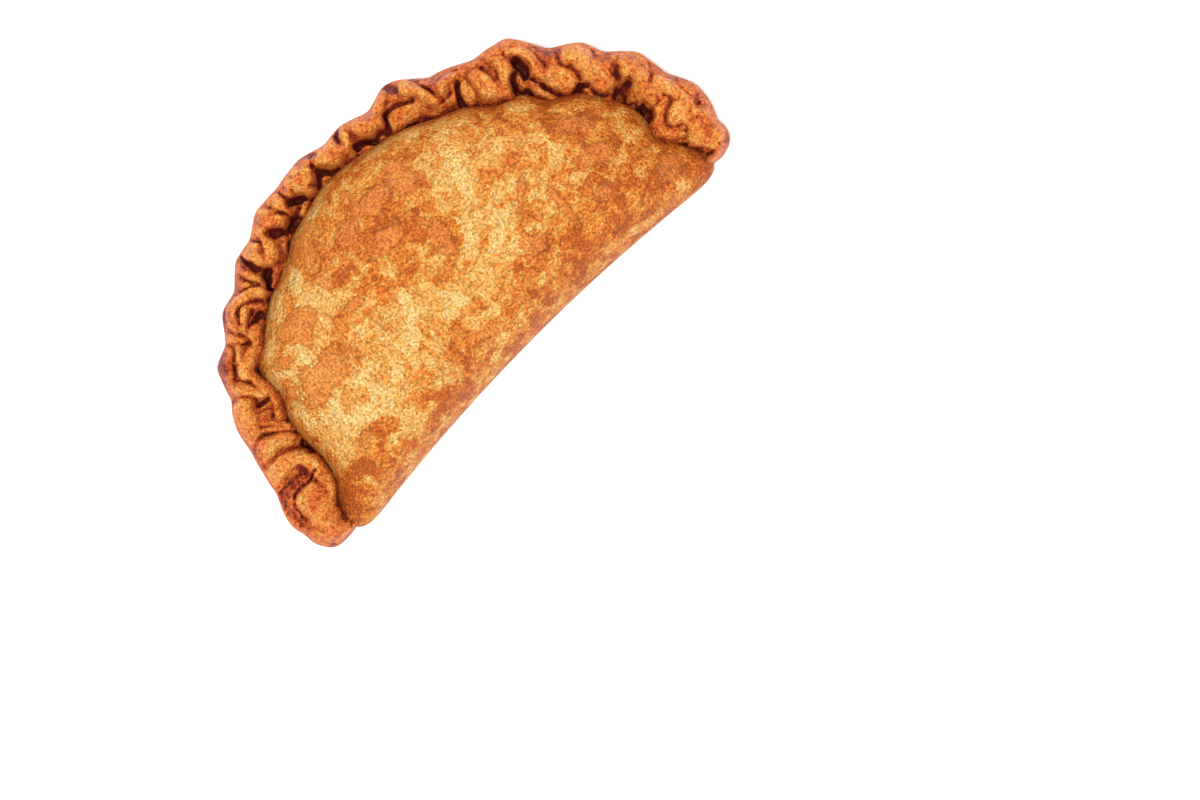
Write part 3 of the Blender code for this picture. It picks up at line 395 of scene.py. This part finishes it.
def on_rim(station, depth):
    """Plan position of a rim coordinate: the guide point plus depth times the inward direction."""
    at = [np.interp(station, STATIONS, GUIDE_POINTS[:, i]) for i in range(2)]
    way = [np.interp(station, STATIONS, INWARD[:, i]) for i in range(2)]
    return np.stack([at[i] + depth * way[i] for i in range(2)], -1)


def eased(x, table, width):
    """A table of (x, y) rows joined by straight runs, then rounded over a width."""
    xs, ys = np.array(table, float).T
    offsets = np.linspace(-1, 1, 9)
    weights = 1 - 0.9 * offsets ** 2
    rounded = [w * np.interp(x + o * width, xs, ys) for o, w in zip(offsets, weights)]
    return sum(rounded) / weights.sum()


def outline_depth(station):
    """Depth of the crimp's outer edge."""
    return eased(station, OUTLINE, OUTLINE_EASE)


def seam_depth(station):
    """Depth of the line where crimp and pocket meet."""
    return eased(station, SEAM, SEAM_EASE)


def smooth(low, high, value):
    """0 at low, 1 at high, and 3t^2 - 2t^3 between them."""
    t = np.clip((value - low) / (high - low), 0, 1)
    return t * t * (3 - 2 * t)


def lattice_value(cell, seed):
    """A fixed pseudo-random number from -1 to 1 for each whole-number cell."""
    mixed = cell[..., 0] * 374761393 + cell[..., 1] * 668265263 + seed * 974634777
    mixed = (mixed & 0xFFFFFFFF) ^ ((mixed & 0xFFFFFFFF) >> 13)
    mixed = (mixed * 1274126177) & 0xFFFFFFFF
    return ((mixed ^ (mixed >> 16)) & 0xFFFF) / 32767.5 - 1.0


def noise(x, y, size, seed):
    """Smooth value noise in plan: lattice values blended by quintic weights over each cell."""
    at = np.stack([x, y], -1) / size
    cell = np.floor(at).astype(np.int64)
    f = at - cell
    blend = f ** 3 * (f * (6 * f - 15) + 10)
    total = 0.0
    for i in (0, 1):
        for j in (0, 1):
            weight = np.abs(1 - i - blend[..., 0]) * np.abs(1 - j - blend[..., 1])
            total = total + weight * lattice_value(cell + np.array([i, j]), seed)
    return total


def layered(x, y, size, seed, layers=4):
    """Noise summed over layers, each half the size and half the strength of the one before."""
    return sum(noise(x, y, size / 2 ** k, seed + 17 * k) / 2 ** k for k in range(layers))


def smooth_line(rows, steps=14):
    """A smooth line through a feature's rows (Catmull-Rom)."""
    p = np.array(rows, float)
    ends = np.vstack([2 * p[0] - p[1], p, 2 * p[-1] - p[-2]])
    t = np.linspace(0, len(p) - 1, steps)
    i = np.clip(t.astype(int), 0, len(p) - 2)
    f = (t - i)[:, None]
    a, b, c, d = ends[i], ends[i + 1], ends[i + 2], ends[i + 3]
    return 0.5 * (2 * b + (c - a) * f + (2 * a - 5 * b + 4 * c - d) * f ** 2
                  + (3 * b - 3 * c + d - a) * f ** 3)


def from_line(station, depth, rows):
    """Distance of each rim coordinate from a line of (station, depth, half width), and the width there.

    The nearest point is the one that comes closest in half widths.
    """
    line = smooth_line(rows)
    share_of_width, width = np.full(station.shape, np.inf), np.ones(station.shape)
    for start, end in zip(line[:-1], line[1:]):
        run = end - start
        t = ((station - start[0]) * run[0] + (depth - start[1]) * run[1]) / (run[:2] @ run[:2])
        t = np.clip(t, 0, 1)
        wide = start[2] + t * run[2]
        off = np.hypot(station - start[0] - t * run[0], depth - start[1] - t * run[1]) / wide
        width = np.where(off < share_of_width, wide, width)
        share_of_width = np.minimum(share_of_width, off)
    return share_of_width * width, width


def columns_near(station, rows):
    """The grid columns whose station lies within reach of a line."""
    stations = [row[0] for row in rows]
    return (station[:, 0] > min(stations) - REACH) & (station[:, 0] < max(stations) + REACH)


def uneven(station, depth, layers, seed):
    """Noise in rim coordinates, summed over a table's layers."""
    return sum(strength * noise(station, depth, size, seed + k)
               for k, (size, strength) in enumerate(layers))


def bent(station, depth):
    """Rim coordinates shifted by noise, so that no fold runs quite true."""
    return station + uneven(station, depth, BEND, 3), depth + uneven(station, depth, BEND, 5)


def merged(a, b):
    """The higher of two heights, run together softly where they meet."""
    return BLEND * np.logaddexp(a / BLEND, b / BLEND)


def fold_relief(station, depth):
    """Height of the folds over the rim's rounded form: the highest of all the folds.

    Across a fold the section is d (sqrt(1 - u^p) - 1) up to its half width, u being the distance
    in half widths, then a side that is steep in one place and gentle in another.
    """
    at = bent(station, depth)
    steep = STEEPNESS + uneven(station, depth, STEEPER, 8)
    relief = np.full(station.shape, -LOWEST)
    for lift, *rows in FOLDS:
        here = columns_near(station, rows)
        off, width = from_line(at[0][here], at[1][here], rows)
        width = width * FULLNESS
        full = FOLD_DEPTH * np.minimum(1, width / FULL_WIDTH)
        shoulder = full * (np.sqrt(1 - np.minimum(off / width, 1) ** ROUNDNESS) - 1)
        side = np.maximum(off - width, 0) * steep[here]
        relief[here] = merged(relief[here], lift + shoulder - side)
    return relief + uneven(*at, LUMPS, 9)


def cut_depth(station, depth):
    """Depth of the hollows and creases: full within a half width of each line, 0 past its bank."""
    shift = uneven(station, depth, RAGGED, 21)
    at = [bend + shift for bend in bent(station, depth)]
    cut = np.zeros(station.shape)
    for deep, half_width, bank, *points in CUTS:
        rows = [(s, n, 1.0) for s, n in points]
        here = columns_near(station, rows)
        off = from_line(at[0][here], at[1][here], rows)[0]
        cut[here] = np.maximum(cut[here], deep * smooth(half_width + bank, 0.3 * half_width, off))
    return cut


def body_relief(station, depth, share):
    """The dough between the folds: an outer apron, sunk behind it and again at the seam."""
    start, end = APRON
    level = APRON_DEPTH + BODY_DEPTH * np.clip((share - start) / (end - start), 0, 1)
    level = level + SEAM_DEPTH * smooth(*SEAM_SHARES, share)
    return uneven(*bent(station, depth), BODY_LUMPS, 12) - level


def rope_height(share):
    """The rim's rounded form, from the outline (0) over the crest to the seam (1)."""
    rise = np.clip(share / CREST_SHARE, 0, 1)
    outer = EQUATOR_Z + (CREST_Z - EQUATOR_Z) * np.sqrt(1 - (1 - rise) ** 2)
    fall = np.clip((share - CREST_SHARE) / (1 - CREST_SHARE), 0, 1.2)
    return np.where(share < CREST_SHARE, outer, CREST_Z - ROPE_FALL * fall ** 1.5)


def nose(station):
    """Size of the crimp's section: 1 along the rim, rounding down to a tip at each end."""
    inside = np.minimum(station - FIRST_STATION, LAST_STATION - station) / NOSE_LENGTH
    return np.maximum(np.sqrt(1 - (1 - np.clip(inside, 0, 1)) ** 2), NOSE_TIP)


def crimp_width(station):
    """From outline to seam, and never less than a nose's depth."""
    return np.maximum(seam_depth(station) - outline_depth(station), NOSE_DEPTH)


def wrinkles(station, depth, share):
    """Fine relief of the fried dough: creases down the outer slope, crumples and pimples all over.

    A crease or a crumple is a fold of noise, 1 - |n|; the creases are drawn out across the rim.
    """
    crease = 1 - np.abs(noise(station, depth * CREASE_DRAWN, CREASE_SIZE, 31)) - 0.6
    outer = 1 - smooth(*CREASE_SHARES, share)
    at = bent(station, depth * CRUMPLE_DRAWN)
    halves = np.abs(noise(*at, CRUMPLE_SIZE, 33)), np.abs(noise(*at, CRUMPLE_SIZE / 2, 34))
    crumple = 1 - halves[0] - 0.5 * halves[1] - 0.4
    pimple = layered(station, depth, PIMPLE_SIZE, 41, 3)
    return CREASE * crease * outer + CRUMPLE * crumple + PIMPLE * pimple


def blurred(values, columns, rows):
    """Grid values averaged over a window that reaches so many points along each axis."""
    for axis, half in ((0, columns), (1, rows)):
        window = np.hanning(2 * half + 3)[1:-1]
        window = window / window.sum()
        values = np.apply_along_axis(
            lambda line: np.convolve(np.pad(line, half, mode="edge"), window, "valid"), axis, values)
    return values


def crimp_height(station, depth):
    """Top of the crimp, its relief over the rim's rounded form, and the cuts' part in that.

    The relief is folds over the dough between them, less the cuts, plus wrinkles. It grows from
    a part of itself at the outline to the whole a little way in.
    """
    outline = outline_depth(station)
    share = (depth - outline) / crimp_width(station)
    body = body_relief(station, depth, share)
    cut = cut_depth(station, depth)
    relief = merged(fold_relief(station, depth), body) - cut
    relief = relief + wrinkles(station, depth, share)
    near_edge = EDGE_RELIEF + (1 - EDGE_RELIEF) * np.clip(share / EDGE_SHARE, 0, 1)
    return np.maximum(rope_height(share) + relief * near_edge, FLOOR_Z), relief, cut


def crimp_grid(columns, rows):
    """The crimp's closed section at each station: underside, outer wall and top, out to in.

    With the points go their station, depth, share of the width, relief and cuts.
    """
    station = np.linspace(FIRST_STATION, LAST_STATION, columns)[:, None]
    outline, width = outline_depth(station), crimp_width(station)
    t = np.linspace(0, 1, rows)[None]
    depth = outline + (CROWDING * t ** 2 + (1 - CROWDING) * t) * OVERRUN * width
    top, relief, cut = crimp_height(station + 0 * t, depth)
    turn = np.linspace(np.pi / 2, 0, UNDER_POINTS)[None, :-1]
    under_depth = outline + (1 - np.cos(turn)) * np.minimum(UNDERCUT, UNDERCUT_SHARE * width)
    under = EQUATOR_Z - (EQUATOR_Z - BELLY_Z) * np.sin(turn) + 0 * under_depth
    size = nose(station)
    middle = outline + NOSE_DEPTH
    rim_depth = np.concatenate([under_depth, depth], 1)
    relief, cut = [np.concatenate([0 * under, values], 1) for values in (relief, cut)]
    height = NOSE_Z + size * (np.concatenate([under, top], 1) - NOSE_Z)
    plan = on_rim(station + 0 * rim_depth, middle + size * (rim_depth - middle))
    share = (rim_depth - outline) / width
    grid = np.concatenate([plan, height[..., None]], -1)
    return grid, station + 0 * rim_depth, rim_depth, share, relief, cut


def spots(x, y, table):
    """Sum of soft round spots, each strength * exp(-d^2), d being the distance in reaches."""
    total = np.zeros(x.shape)
    for cx, cy, along, across, strength in table:
        total += strength * np.exp(-((x - cx) / along) ** 2 - ((y - cy) / across) ** 2)
    return total


def fold_edge(x):
    """Straight edge of the pocket, bowed in a little."""
    return FOLD_Y + FOLD_BOW * (1 - (x / FOLD_HALF) ** 2)


def ring_blur(values, share):
    """Values round a ring, averaged over a share of it."""
    size = max(3, int(len(values) * share) | 1)
    window = np.hanning(size + 2)[1:-1]
    wrapped = np.concatenate([values[-(size // 2):], values, values[:size // 2]])
    return np.convolve(wrapped, window / window.sum(), "valid")


def pocket_outline(count):
    """Radius of the pocket round its centre, and how far each direction points at the fold."""
    station = np.linspace(6, 395, 1500)
    rim = on_rim(station, seam_depth(station))
    x = np.linspace(FOLD_HALF - 4, 4 - FOLD_HALF, 600)
    fold = np.stack([x, fold_edge(x)], 1)
    spoke = np.concatenate([rim, fold]) - POCKET_CENTRE
    on_fold = np.repeat([0.0, 1.0], [len(rim), len(fold)])
    angle, radius = np.arctan2(spoke[:, 1], spoke[:, 0]), np.linalg.norm(spoke, axis=1)
    order = np.argsort(angle)
    turn = np.linspace(-np.pi, np.pi, count, endpoint=False)
    tables = [np.interp(turn, angle[order], v[order], period=2 * np.pi) for v in (radius, on_fold)]
    return turn, ring_blur(tables[0], 0.015), ring_blur(tables[1], 0.10)


def blister_field(x, y):
    """Over 0 inside a blister and under 0 outside: the largest of 1 - d, d in half sizes."""
    field = np.full(x.shape, -3.0)
    for cx, cy, length, width, turn in BLISTERS:
        cos, sin = math.cos(math.radians(turn)), math.sin(math.radians(turn))
        u, v = (x - cx) * cos + (y - cy) * sin, (y - cy) * cos - (x - cx) * sin
        field = np.maximum(field, 1 - np.hypot(u / length, v / width))
    return field + BLISTER_UNEVEN * layered(x, y, BLISTER_LUMPS, 51, 4)


def pocket_grid(around, top_rows, low_rows):
    """The pocket as rings, from the top centre out to its widest line and in under it.

    The top is edge + (top - edge) (1 - share^p)^q, share being 0 at the centre and 1 at the
    edge, with low swells, raised blisters and fine lumps. Towards the centre the rings lose the
    outline's corners.
    """
    turn, radius, on_fold = [v[:, None] for v in pocket_outline(around)]
    even = ring_blur(radius[:, 0], ROUNDING)[:, None]
    edge = SEAM_Z + (FOLD_Z - SEAM_Z) * on_fold
    share = np.sin(np.linspace(0, np.pi / 2, top_rows))[None, 1:]
    power, root = SHOULDER
    top = edge + (TOP_Z - edge) * (1 - share ** power) ** root
    reach = share * (radius + (even - radius) * (1 - share ** 2))
    sink = np.linspace(0, np.pi / 2, low_rows)[None, 1:]
    under = edge - edge * np.sin(sink)
    under_reach = radius * (FLAT_SHARE + (1 - FLAT_SHARE) * np.cos(sink))
    x, y = [np.concatenate([reach, under_reach], 1) * way(turn) for way in (np.cos, np.sin)]
    swell = SWELL * noise(x, y, SWELL_SIZE, 11)[:, :top.shape[1]] * np.clip(6 * (1 - share), 0, 1)
    height = np.concatenate([top + swell, under], 1)
    x, y = x + POCKET_CENTRE[0], y + POCKET_CENTRE[1]
    blister = blister_field(x, y)
    spread = np.concatenate([share + 0 * edge, 1 + 0 * under], 1)
    skin = BLISTER_RISE * smooth(-BLISTER_BANK, BLISTER_BANK, blister)
    skin = skin + SKIN * layered(x, y, SKIN_SIZE, 61, 5)
    height = height + skin * np.clip(8 * (1 - spread), 0, 1)
    return np.stack([x, y, height], -1), blister, spread


def surface_object(name, grid, ring, attributes):
    """A closed mesh object from a grid of points in mm: (sections, points of a section).

    A ring of sections runs from a pole at its first points to a pole at its last ones. Sections
    that are not a ring are loops themselves, and the two end ones are filled. Each attribute is
    one number a point.
    """
    sections, across = grid.shape[:2]
    points = grid.reshape(-1, 3)
    values = {key: value.reshape(-1) for key, value in attributes.items()}
    here = np.arange(sections if ring else sections - 1)[:, None] * across
    after = (here + across) % (sections * across)
    j = np.arange(across - 1 if ring else across)[None]
    side = (j + 1) % across
    faces = np.stack([here + j, here + side, after + side, after + j], -1).reshape(-1, 4).tolist()
    if ring:
        points = np.concatenate([points, grid[:, [0, -1]].mean(0)])
        values = {key: np.concatenate([value, value[[0, across - 1]]]) for key, value in values.items()}
        first, last = len(points) - 2, len(points) - 1
        pairs = list(zip(here[:, 0].tolist(), after[:, 0].tolist()))
        faces += [[a, b, first] for a, b in pairs]
        faces += [[b + across - 1, a + across - 1, last] for a, b in pairs]
    else:
        faces += [list(range(across))[::-1], list(range(len(points) - across, len(points)))]
    mesh = bpy.data.meshes.new(name)
    mesh.from_pydata((points - [*MIDDLE, 0]) * MM, [], faces)
    for key, value in values.items():
        mesh.attributes.new(key, "FLOAT", "POINT").data.foreach_set("value", value.astype(np.float32))
    mesh.update()
    mesh.shade_smooth()
    piece = bpy.data.objects.new(name, mesh)
    bpy.context.scene.collection.objects.link(piece)
    return piece


class Value:
    """A shader output that takes part in Python sums; each operator adds a Math node."""

    def __init__(self, material, socket):
        self.material, self.socket = material, socket

    def math(self, operation, *others):
        return self.material.node("ShaderNodeMath", {"operation": operation},
                                  dict(enumerate([self, *others])))

    def __add__(self, other):
        return self.math("ADD", other)

    def __sub__(self, other):
        return self.math("SUBTRACT", other)

    def __rsub__(self, other):
        return self * -1 + other

    def __mul__(self, other):
        return self.math("MULTIPLY", other)

    __radd__ = __add__
    __rmul__ = __mul__

    def between(self, low, high):
        """0 at low, 1 at high, eased in between."""
        return self.material.node("ShaderNodeMapRange", {"interpolation_type": "SMOOTHSTEP"},
                                  {"Value": self, "From Min": low, "From Max": high})

    def clamped(self, highest):
        """Held between 0 and a highest value."""
        return self.math("MAXIMUM", 0.0).math("MINIMUM", highest)


class Finish:
    """A material whose nodes are added by one method."""

    def __init__(self, name):
        self.material = bpy.data.materials.new(name)
        self.material.use_nodes = True
        self.tree = self.material.node_tree
        self.shader = self.tree.nodes["Principled BSDF"]
        self.place = self.node("ShaderNodeTexCoord", {}, {}, "Object")

    def node(self, kind, settings, inputs, output=0):
        """A new node with its settings, then its inputs, as the value of one of its outputs."""
        node = self.tree.nodes.new(kind)
        for key, value in settings.items():
            if key == "stops":
                ramp = node.color_ramp.elements
                for at, colour in value[2:]:
                    ramp.new(at)
                for stop, (at, colour) in zip(ramp, value):
                    stop.position, stop.color = at, (*colour, 1.0)
            else:
                setattr(node, key, value)
        for key, value in inputs.items():
            self.feed(node.inputs[key], value)
        return Value(self, node.outputs[output])

    def feed(self, socket, value):
        """Link a value to a socket, or set a constant on it."""
        if isinstance(value, Value):
            self.tree.links.new(value.socket, socket)
        else:
            socket.default_value = value

    def noise(self, size_mm, detail=3.0, roughness=0.55, place=None):
        """Noise whose features are about that many millimetres across, around 0.5."""
        return self.node("ShaderNodeTexNoise", {}, {"Vector": place or self.place,
                         "Scale": 1000 / size_mm, "Detail": detail, "Roughness": roughness})

    def bubbles(self, size_mm):
        """Rounded bumps packed side by side: 1 at the middle of each, towards 0 between them."""
        bed = self.node("ShaderNodeTexVoronoi", {"feature": "SMOOTH_F1"}, {"Vector": self.place,
                        "Scale": 1000 / size_mm, "Smoothness": 0.3})
        return 1 - bed

    def flakes(self, size_mm, ragged_mm):
        """Cells of one value each, 0 to 1, whose edges are pushed about by noise."""
        shift = self.node("ShaderNodeTexNoise", {}, {"Vector": self.place, "Scale": 1000 / size_mm,
                          "Detail": 4.0, "Roughness": 0.7}, 1)
        push = self.node("ShaderNodeVectorMath", {"operation": "MULTIPLY_ADD"},
                         {0: shift, 1: (ragged_mm * MM,) * 3, 2: self.place})
        cells = self.node("ShaderNodeTexVoronoi", {}, {"Vector": push, "Scale": 1000 / size_mm}, 1)
        return self.node("ShaderNodeSeparateColor", {}, {"Color": cells})

    def attribute(self, name):
        return self.node("ShaderNodeAttribute", {"attribute_name": name}, {}, "Fac")

    def stretched(self, x, y, z):
        """Object coordinates drawn out along an axis by a factor under 1."""
        return self.node("ShaderNodeMapping", {}, {"Vector": self.place, "Scale": (x, y, z)})

    def mix(self, share, a, b, blend="MIX"):
        return self.node("ShaderNodeMix", {"data_type": "RGBA", "blend_type": blend},
                         {0: share, 6: a, 7: b}, 2)

    def colours(self, share, stops):
        return self.node("ShaderNodeValToRGB", {"stops": stops}, {"Fac": share})

    def patches(self, tone, size_mm, detail, tone_effect, low, high):
        """1 in crisp, ragged patches and 0 between them, more of them where the tone and painted shade
        are high.
        """
        return (self.noise(size_mm, detail, 0.66) + tone * tone_effect).between(low, high)

    def grain(self):
        """What both crusts share: fine crumbs, packed bubbles, soft lumps, and patches of gloss."""
        gloss = (self.noise(3, 3) - 0.5) * 0.3
        return self.noise(CRUMB_MM, 3, 0.7), self.bubbles(BUBBLE_MM), self.noise(LUMP_MM, 3), gloss

    def speckled(self, colour):
        """A colour made lighter and darker from grain to grain of the crust: painted light and shade of
        the fine relief.
        """
        light = 1.02 + (self.noise(SPECKLE_MM, 1, 0.5) - 0.5) * 2.0
        return self.mix(1.0, colour, light, "MULTIPLY")

    def finish(self, colour, roughness, height_mm, specular):
        normal = self.node("ShaderNodeBump", {}, {"Height": height_mm, "Distance": MM})
        for key, value in (("Base Color", colour), ("Roughness", roughness), ("Normal", normal),
                           ("Specular IOR Level", specular)):
            self.feed(self.shader.inputs[key], value)
        return self.material


# Colours of fried dough, pale to burnt.
CREAM = (0.81, 0.53, 0.22)
GOLD = (0.78, 0.39, 0.095)
ORANGE = (0.73, 0.262, 0.048)
AMBER = (0.65, 0.152, 0.024)
RUST = (0.48, 0.079, 0.015)
RUSSET = (0.27, 0.033, 0.009)
CHESTNUT = (0.12, 0.012, 0.006)
SCORCH = (0.035, 0.005, 0.004)

# Browning scales: the colour at each place from 0, barely fried, to 1, burnt; painted shade also moves
# a place up the scale.
CRIMP_BROWNING = (
    (0.0, CREAM), (0.18, GOLD), (0.36, ORANGE), (0.54, AMBER),
    (0.68, RUST), (0.81, RUSSET), (0.92, CHESTNUT), (1.0, SCORCH),
)
POCKET_BROWNING = (
    (0.0, (0.78, 0.51, 0.205)), (0.18, (0.74, 0.425, 0.120)), (0.36, (0.68, 0.305, 0.058)),
    (0.54, (0.63, 0.193, 0.022)), (0.72, (0.53, 0.118, 0.011)), (0.90, (0.28, 0.050, 0.006)),
)
POCKET_DARKEST, CRIMP_DARKEST = 0.80, 0.92
BLISTER_COLOUR = (0.74, 0.25, 0.062, 1.0)
POCKET_SPECULAR, CRIMP_SPECULAR = 0.2, 0.24

# Patches of the pocket: size in mm, detail, how much the tone and painted shade add, and where they
# start and fill.
LARGE_PATCHES = (15, 7, 0.22, 0.50, 0.55)
SMALL_PATCHES = (6, 6, 0.14, 0.51, 0.57)

# Grain of both crusts.
CRUMB_MM, BUBBLE_MM, LUMP_MM, SPECKLE_MM = 1.5, 1.3, 4.0, 0.85


def pocket_crust():
    """Golden crust: patches, flakes, flecks, grain, streaks, tone and painted shade add up to a place
    on the browning scale.

    Patches are noise pushed through a steep step, so that their edges are crisp and ragged. The tone
    and painted shade of a place make them more or less common there. Flakes are cells of one tone each.
    The streaks are partly painted highlight streaks. Crumbs and the dips between bubbles are painted
    darker where they lie low, as painted shade of the fine relief. A blister is evener and redder than
    the crust round it. It is darker along its edge, both from browning and from a painted shadow of its
    raised edge.
    """
    f = Finish("fried_pocket_crust")
    tone = f.attribute("tone")
    field = f.attribute("blister") + (f.noise(2.8, 6, 0.7) - 0.5) * 1.7
    blister = field.between(-0.08, 0.14)
    lip_and_shadow = blister - field.between(0.12, 0.42)
    large, small = f.patches(tone, *LARGE_PATCHES), f.patches(tone, *SMALL_PATCHES)
    fleck = f.noise(3.4, 5, 0.7).between(0.56, 0.64)
    flakes = f.flakes(6.0, 2.5)
    crumbs, bubbles, lumps, gloss = f.grain()
    # Pale and dark streaks, partly painted highlight streaks.
    streak_and_glint = (f.noise(1.8, 3, 0.6, f.stretched(1.0, 0.28, 1.0)) - 0.5) * 0.9
    # Painted shade: crumbs and the dips between bubbles are darker where the bump is low.
    brown_and_shade = 0.23 + large * 0.16 + small * 0.25 - (crumbs - 0.5) * 0.80 - (bubbles - 0.6) * 0.38
    brown_and_shade = brown_and_shade + (flakes - 0.5) * 0.38 - fleck * 0.14
    # The lip darkens a blister's edge, both from browning and from a painted shadow of the raised edge.
    brown_and_shade = (brown_and_shade - 0.60) * (1 - blister * 0.6) + 0.60 + tone * 0.06 + lip_and_shadow * 0.12
    brown_and_shade = brown_and_shade + streak_and_glint * f.attribute("streaky") + f.attribute("browning")
    colour = f.colours(brown_and_shade.clamped(POCKET_DARKEST), POCKET_BROWNING)
    colour = f.speckled(f.mix(blister * 0.3, colour, BLISTER_COLOUR))
    roughness = 0.34 + gloss + f.attribute("browning") * 0.9
    height = crumbs * 2.6 + bubbles * 0.7 + lumps + flakes * 0.2 + blister * 0.4
    return f.finish(colour, roughness, height, POCKET_SPECULAR)


def crimp_crust():
    """Darker crust: the crimp's own browning and painted shade at each point, made uneven by mottling
    and grain. Crumbs and the dips between bubbles are painted darker where they lie low, as painted
    shade of the fine relief.
    """
    f = Finish("fried_crimp_crust")
    mottle = f.noise(7, 6, 0.66).between(0.40, 0.60) - 0.5
    crumbs, bubbles, lumps, gloss = f.grain()
    # Painted shade: crumbs and the dips between bubbles are darker where the bump is low.
    brown_and_shade = f.attribute("browning") + mottle * 0.14 - (crumbs - 0.5) * 0.70 - (bubbles - 0.6) * 0.30
    brown_and_shade = brown_and_shade + (f.flakes(4.0, 2.0) - 0.5) * 0.12
    colour = f.speckled(f.colours(brown_and_shade.clamped(CRIMP_DARKEST), CRIMP_BROWNING))
    roughness = 0.30 + gloss + f.attribute("outer") * 0.4
    height = crumbs * 2.4 + bubbles * 0.6 + lumps * 0.9
    return f.finish(colour, roughness, height, CRIMP_SPECULAR)


def make_pocket():
    """The pocket with each point's blister value, tone and painted shade, streakiness, and extra
    browning and painted shade.

    It is darker at the seam and on its right half, which is painted shade of the trench under the crimp
    and of the right shoulder. Where shaded beside the corners it is darker too, also painted shade. It
    is browner low on its sides and by the fold.
    """
    grid, blister, share = pocket_grid(*POCKET_POINTS)
    x, y, z = np.moveaxis(grid, -1, 0)
    streaky = smooth(-85, -70, x) * smooth(5, -30, x) * smooth(18, 26, y) * smooth(46, 38, y)
    at_seam, low = smooth(0.93, 1.0, share), smooth(10, 1, z)
    on_right, by_fold = smooth(0, 50, x), smooth(30, 8, y)
    # Painted shade: darker along the trench at the seam and down the right shoulder, and beside the
    # corners at the SHADED places.
    browning = 0.10 * at_seam + 0.12 * low + 0.07 * on_right + 0.10 * by_fold
    browning = browning + spots(x, y, SHADED)
    piece = surface_object("pocket_crust", grid, True,
                           {"blister": blister, "streaky": streaky, "browning": browning,
                            "tone": spots(x, y, TONES_AND_SHADE)})
    piece.data.materials.append(pocket_crust())
    return piece


def make_crimp():
    """The crimp with each point's browning and painted shade, and how far it lies on the outer slope.

    It is darker where it is sunk, hollow or cut and at the seam, which is painted shade of its creases,
    hollows and the trench by the pocket. It is browner on the outer slope. A point is hollow by as much
    as it lies under its blurred surroundings, in mm.
    """
    grid, station, depth, share, relief, cut = crimp_grid(*CRIMP_POINTS)
    # Browned places with painted shade, less pale places with painted highlights.
    browned_and_shaded = spots(station, depth, BROWNED_AND_SHADED) - 0.8 * spots(station, depth, PALE_AND_LIT)
    # Painted shade: sunk dough, hollows under their surroundings, cuts and the trench at the seam are
    # darkened in colour.
    sunk = smooth(-4.0, -13.0, relief)
    outer = smooth(0.28, 0.0, share)
    hollow = np.clip(blurred(grid[..., 2], *SURROUNDINGS) - grid[..., 2], -0.8, 2.0)
    cut_in, at_seam = smooth(0.2, 2.0, cut), smooth(0.90, 1.02, share)
    browning = 0.48 + 0.28 * browned_and_shaded + 0.22 * sunk + 0.12 * outer + 0.14 * hollow
    browning = browning + 0.10 * cut_in + 0.22 * at_seam
    piece = surface_object("crimp_crust", grid, False, {"browning": browning, "outer": outer})
    piece.data.materials.append(crimp_crust())
    return piece


def sun(name, strength, towards, angle, colour):
    """A soft distant light that shines along a direction."""
    light = bpy.data.lights.new(name, "SUN")
    light.energy, light.angle, light.color = strength, math.radians(angle), colour
    lamp = bpy.data.objects.new(name, light)
    x, y, z = towards
    lamp.rotation_euler = (math.atan2(math.hypot(x, y), -z), 0, math.atan2(x, -y) + math.pi)
    bpy.context.scene.collection.objects.link(lamp)


def floor():
    """A wide pale sheet just under the pastry."""
    bpy.ops.mesh.primitive_plane_add(size=FLOOR_SIDE * MM, location=(0, 0, -FLOOR_GAP * MM))
    sheet = bpy.context.object
    sheet.name = "floor"
    f = Finish("pale_floor")
    f.feed(f.shader.inputs["Base Color"], (0.96, 0.96, 0.96, 1.0))
    f.feed(f.shader.inputs["Roughness"], 0.8)
    sheet.data.materials.append(f.material)


def camera():
    """Straight above the pastry, turned so that the fold runs up to the right.

    Its height is view width * lens / sensor width over the plane that has that width.
    """
    data = bpy.data.cameras.new("camera")
    data.lens, data.sensor_width = LENS, SENSOR
    eye = bpy.data.objects.new("camera", data)
    x, y = np.subtract(VIEW_CENTRE, MIDDLE)
    eye.location = (x * MM, y * MM, (VIEW_WIDTH * LENS / SENSOR + VIEW_PLANE_Z) * MM)
    eye.rotation_euler = (0, 0, math.radians(VIEW_TURN))
    data.clip_end = 10          # metres
    bpy.context.scene.collection.objects.link(eye)
    bpy.context.scene.camera = eye


def studio():
    """Two suns and an even white sky, shown in plain colours."""
    sun("key", *KEY)
    sun("fill", *FILL)
    world = bpy.data.worlds.new("studio")
    world.use_nodes = True
    sky = world.node_tree.nodes["Background"].inputs
    sky["Color"].default_value = (1, 1, 1, 1)
    sky["Strength"].default_value = SKY_STRENGTH
    bpy.context.scene.world = world
    bpy.context.scene.view_settings.view_transform = "Standard"


for make in (make_pocket, make_crimp):
    shape = make()
    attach(shape, "root")
    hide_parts("panzerotto")

floor()
camera()
studio()
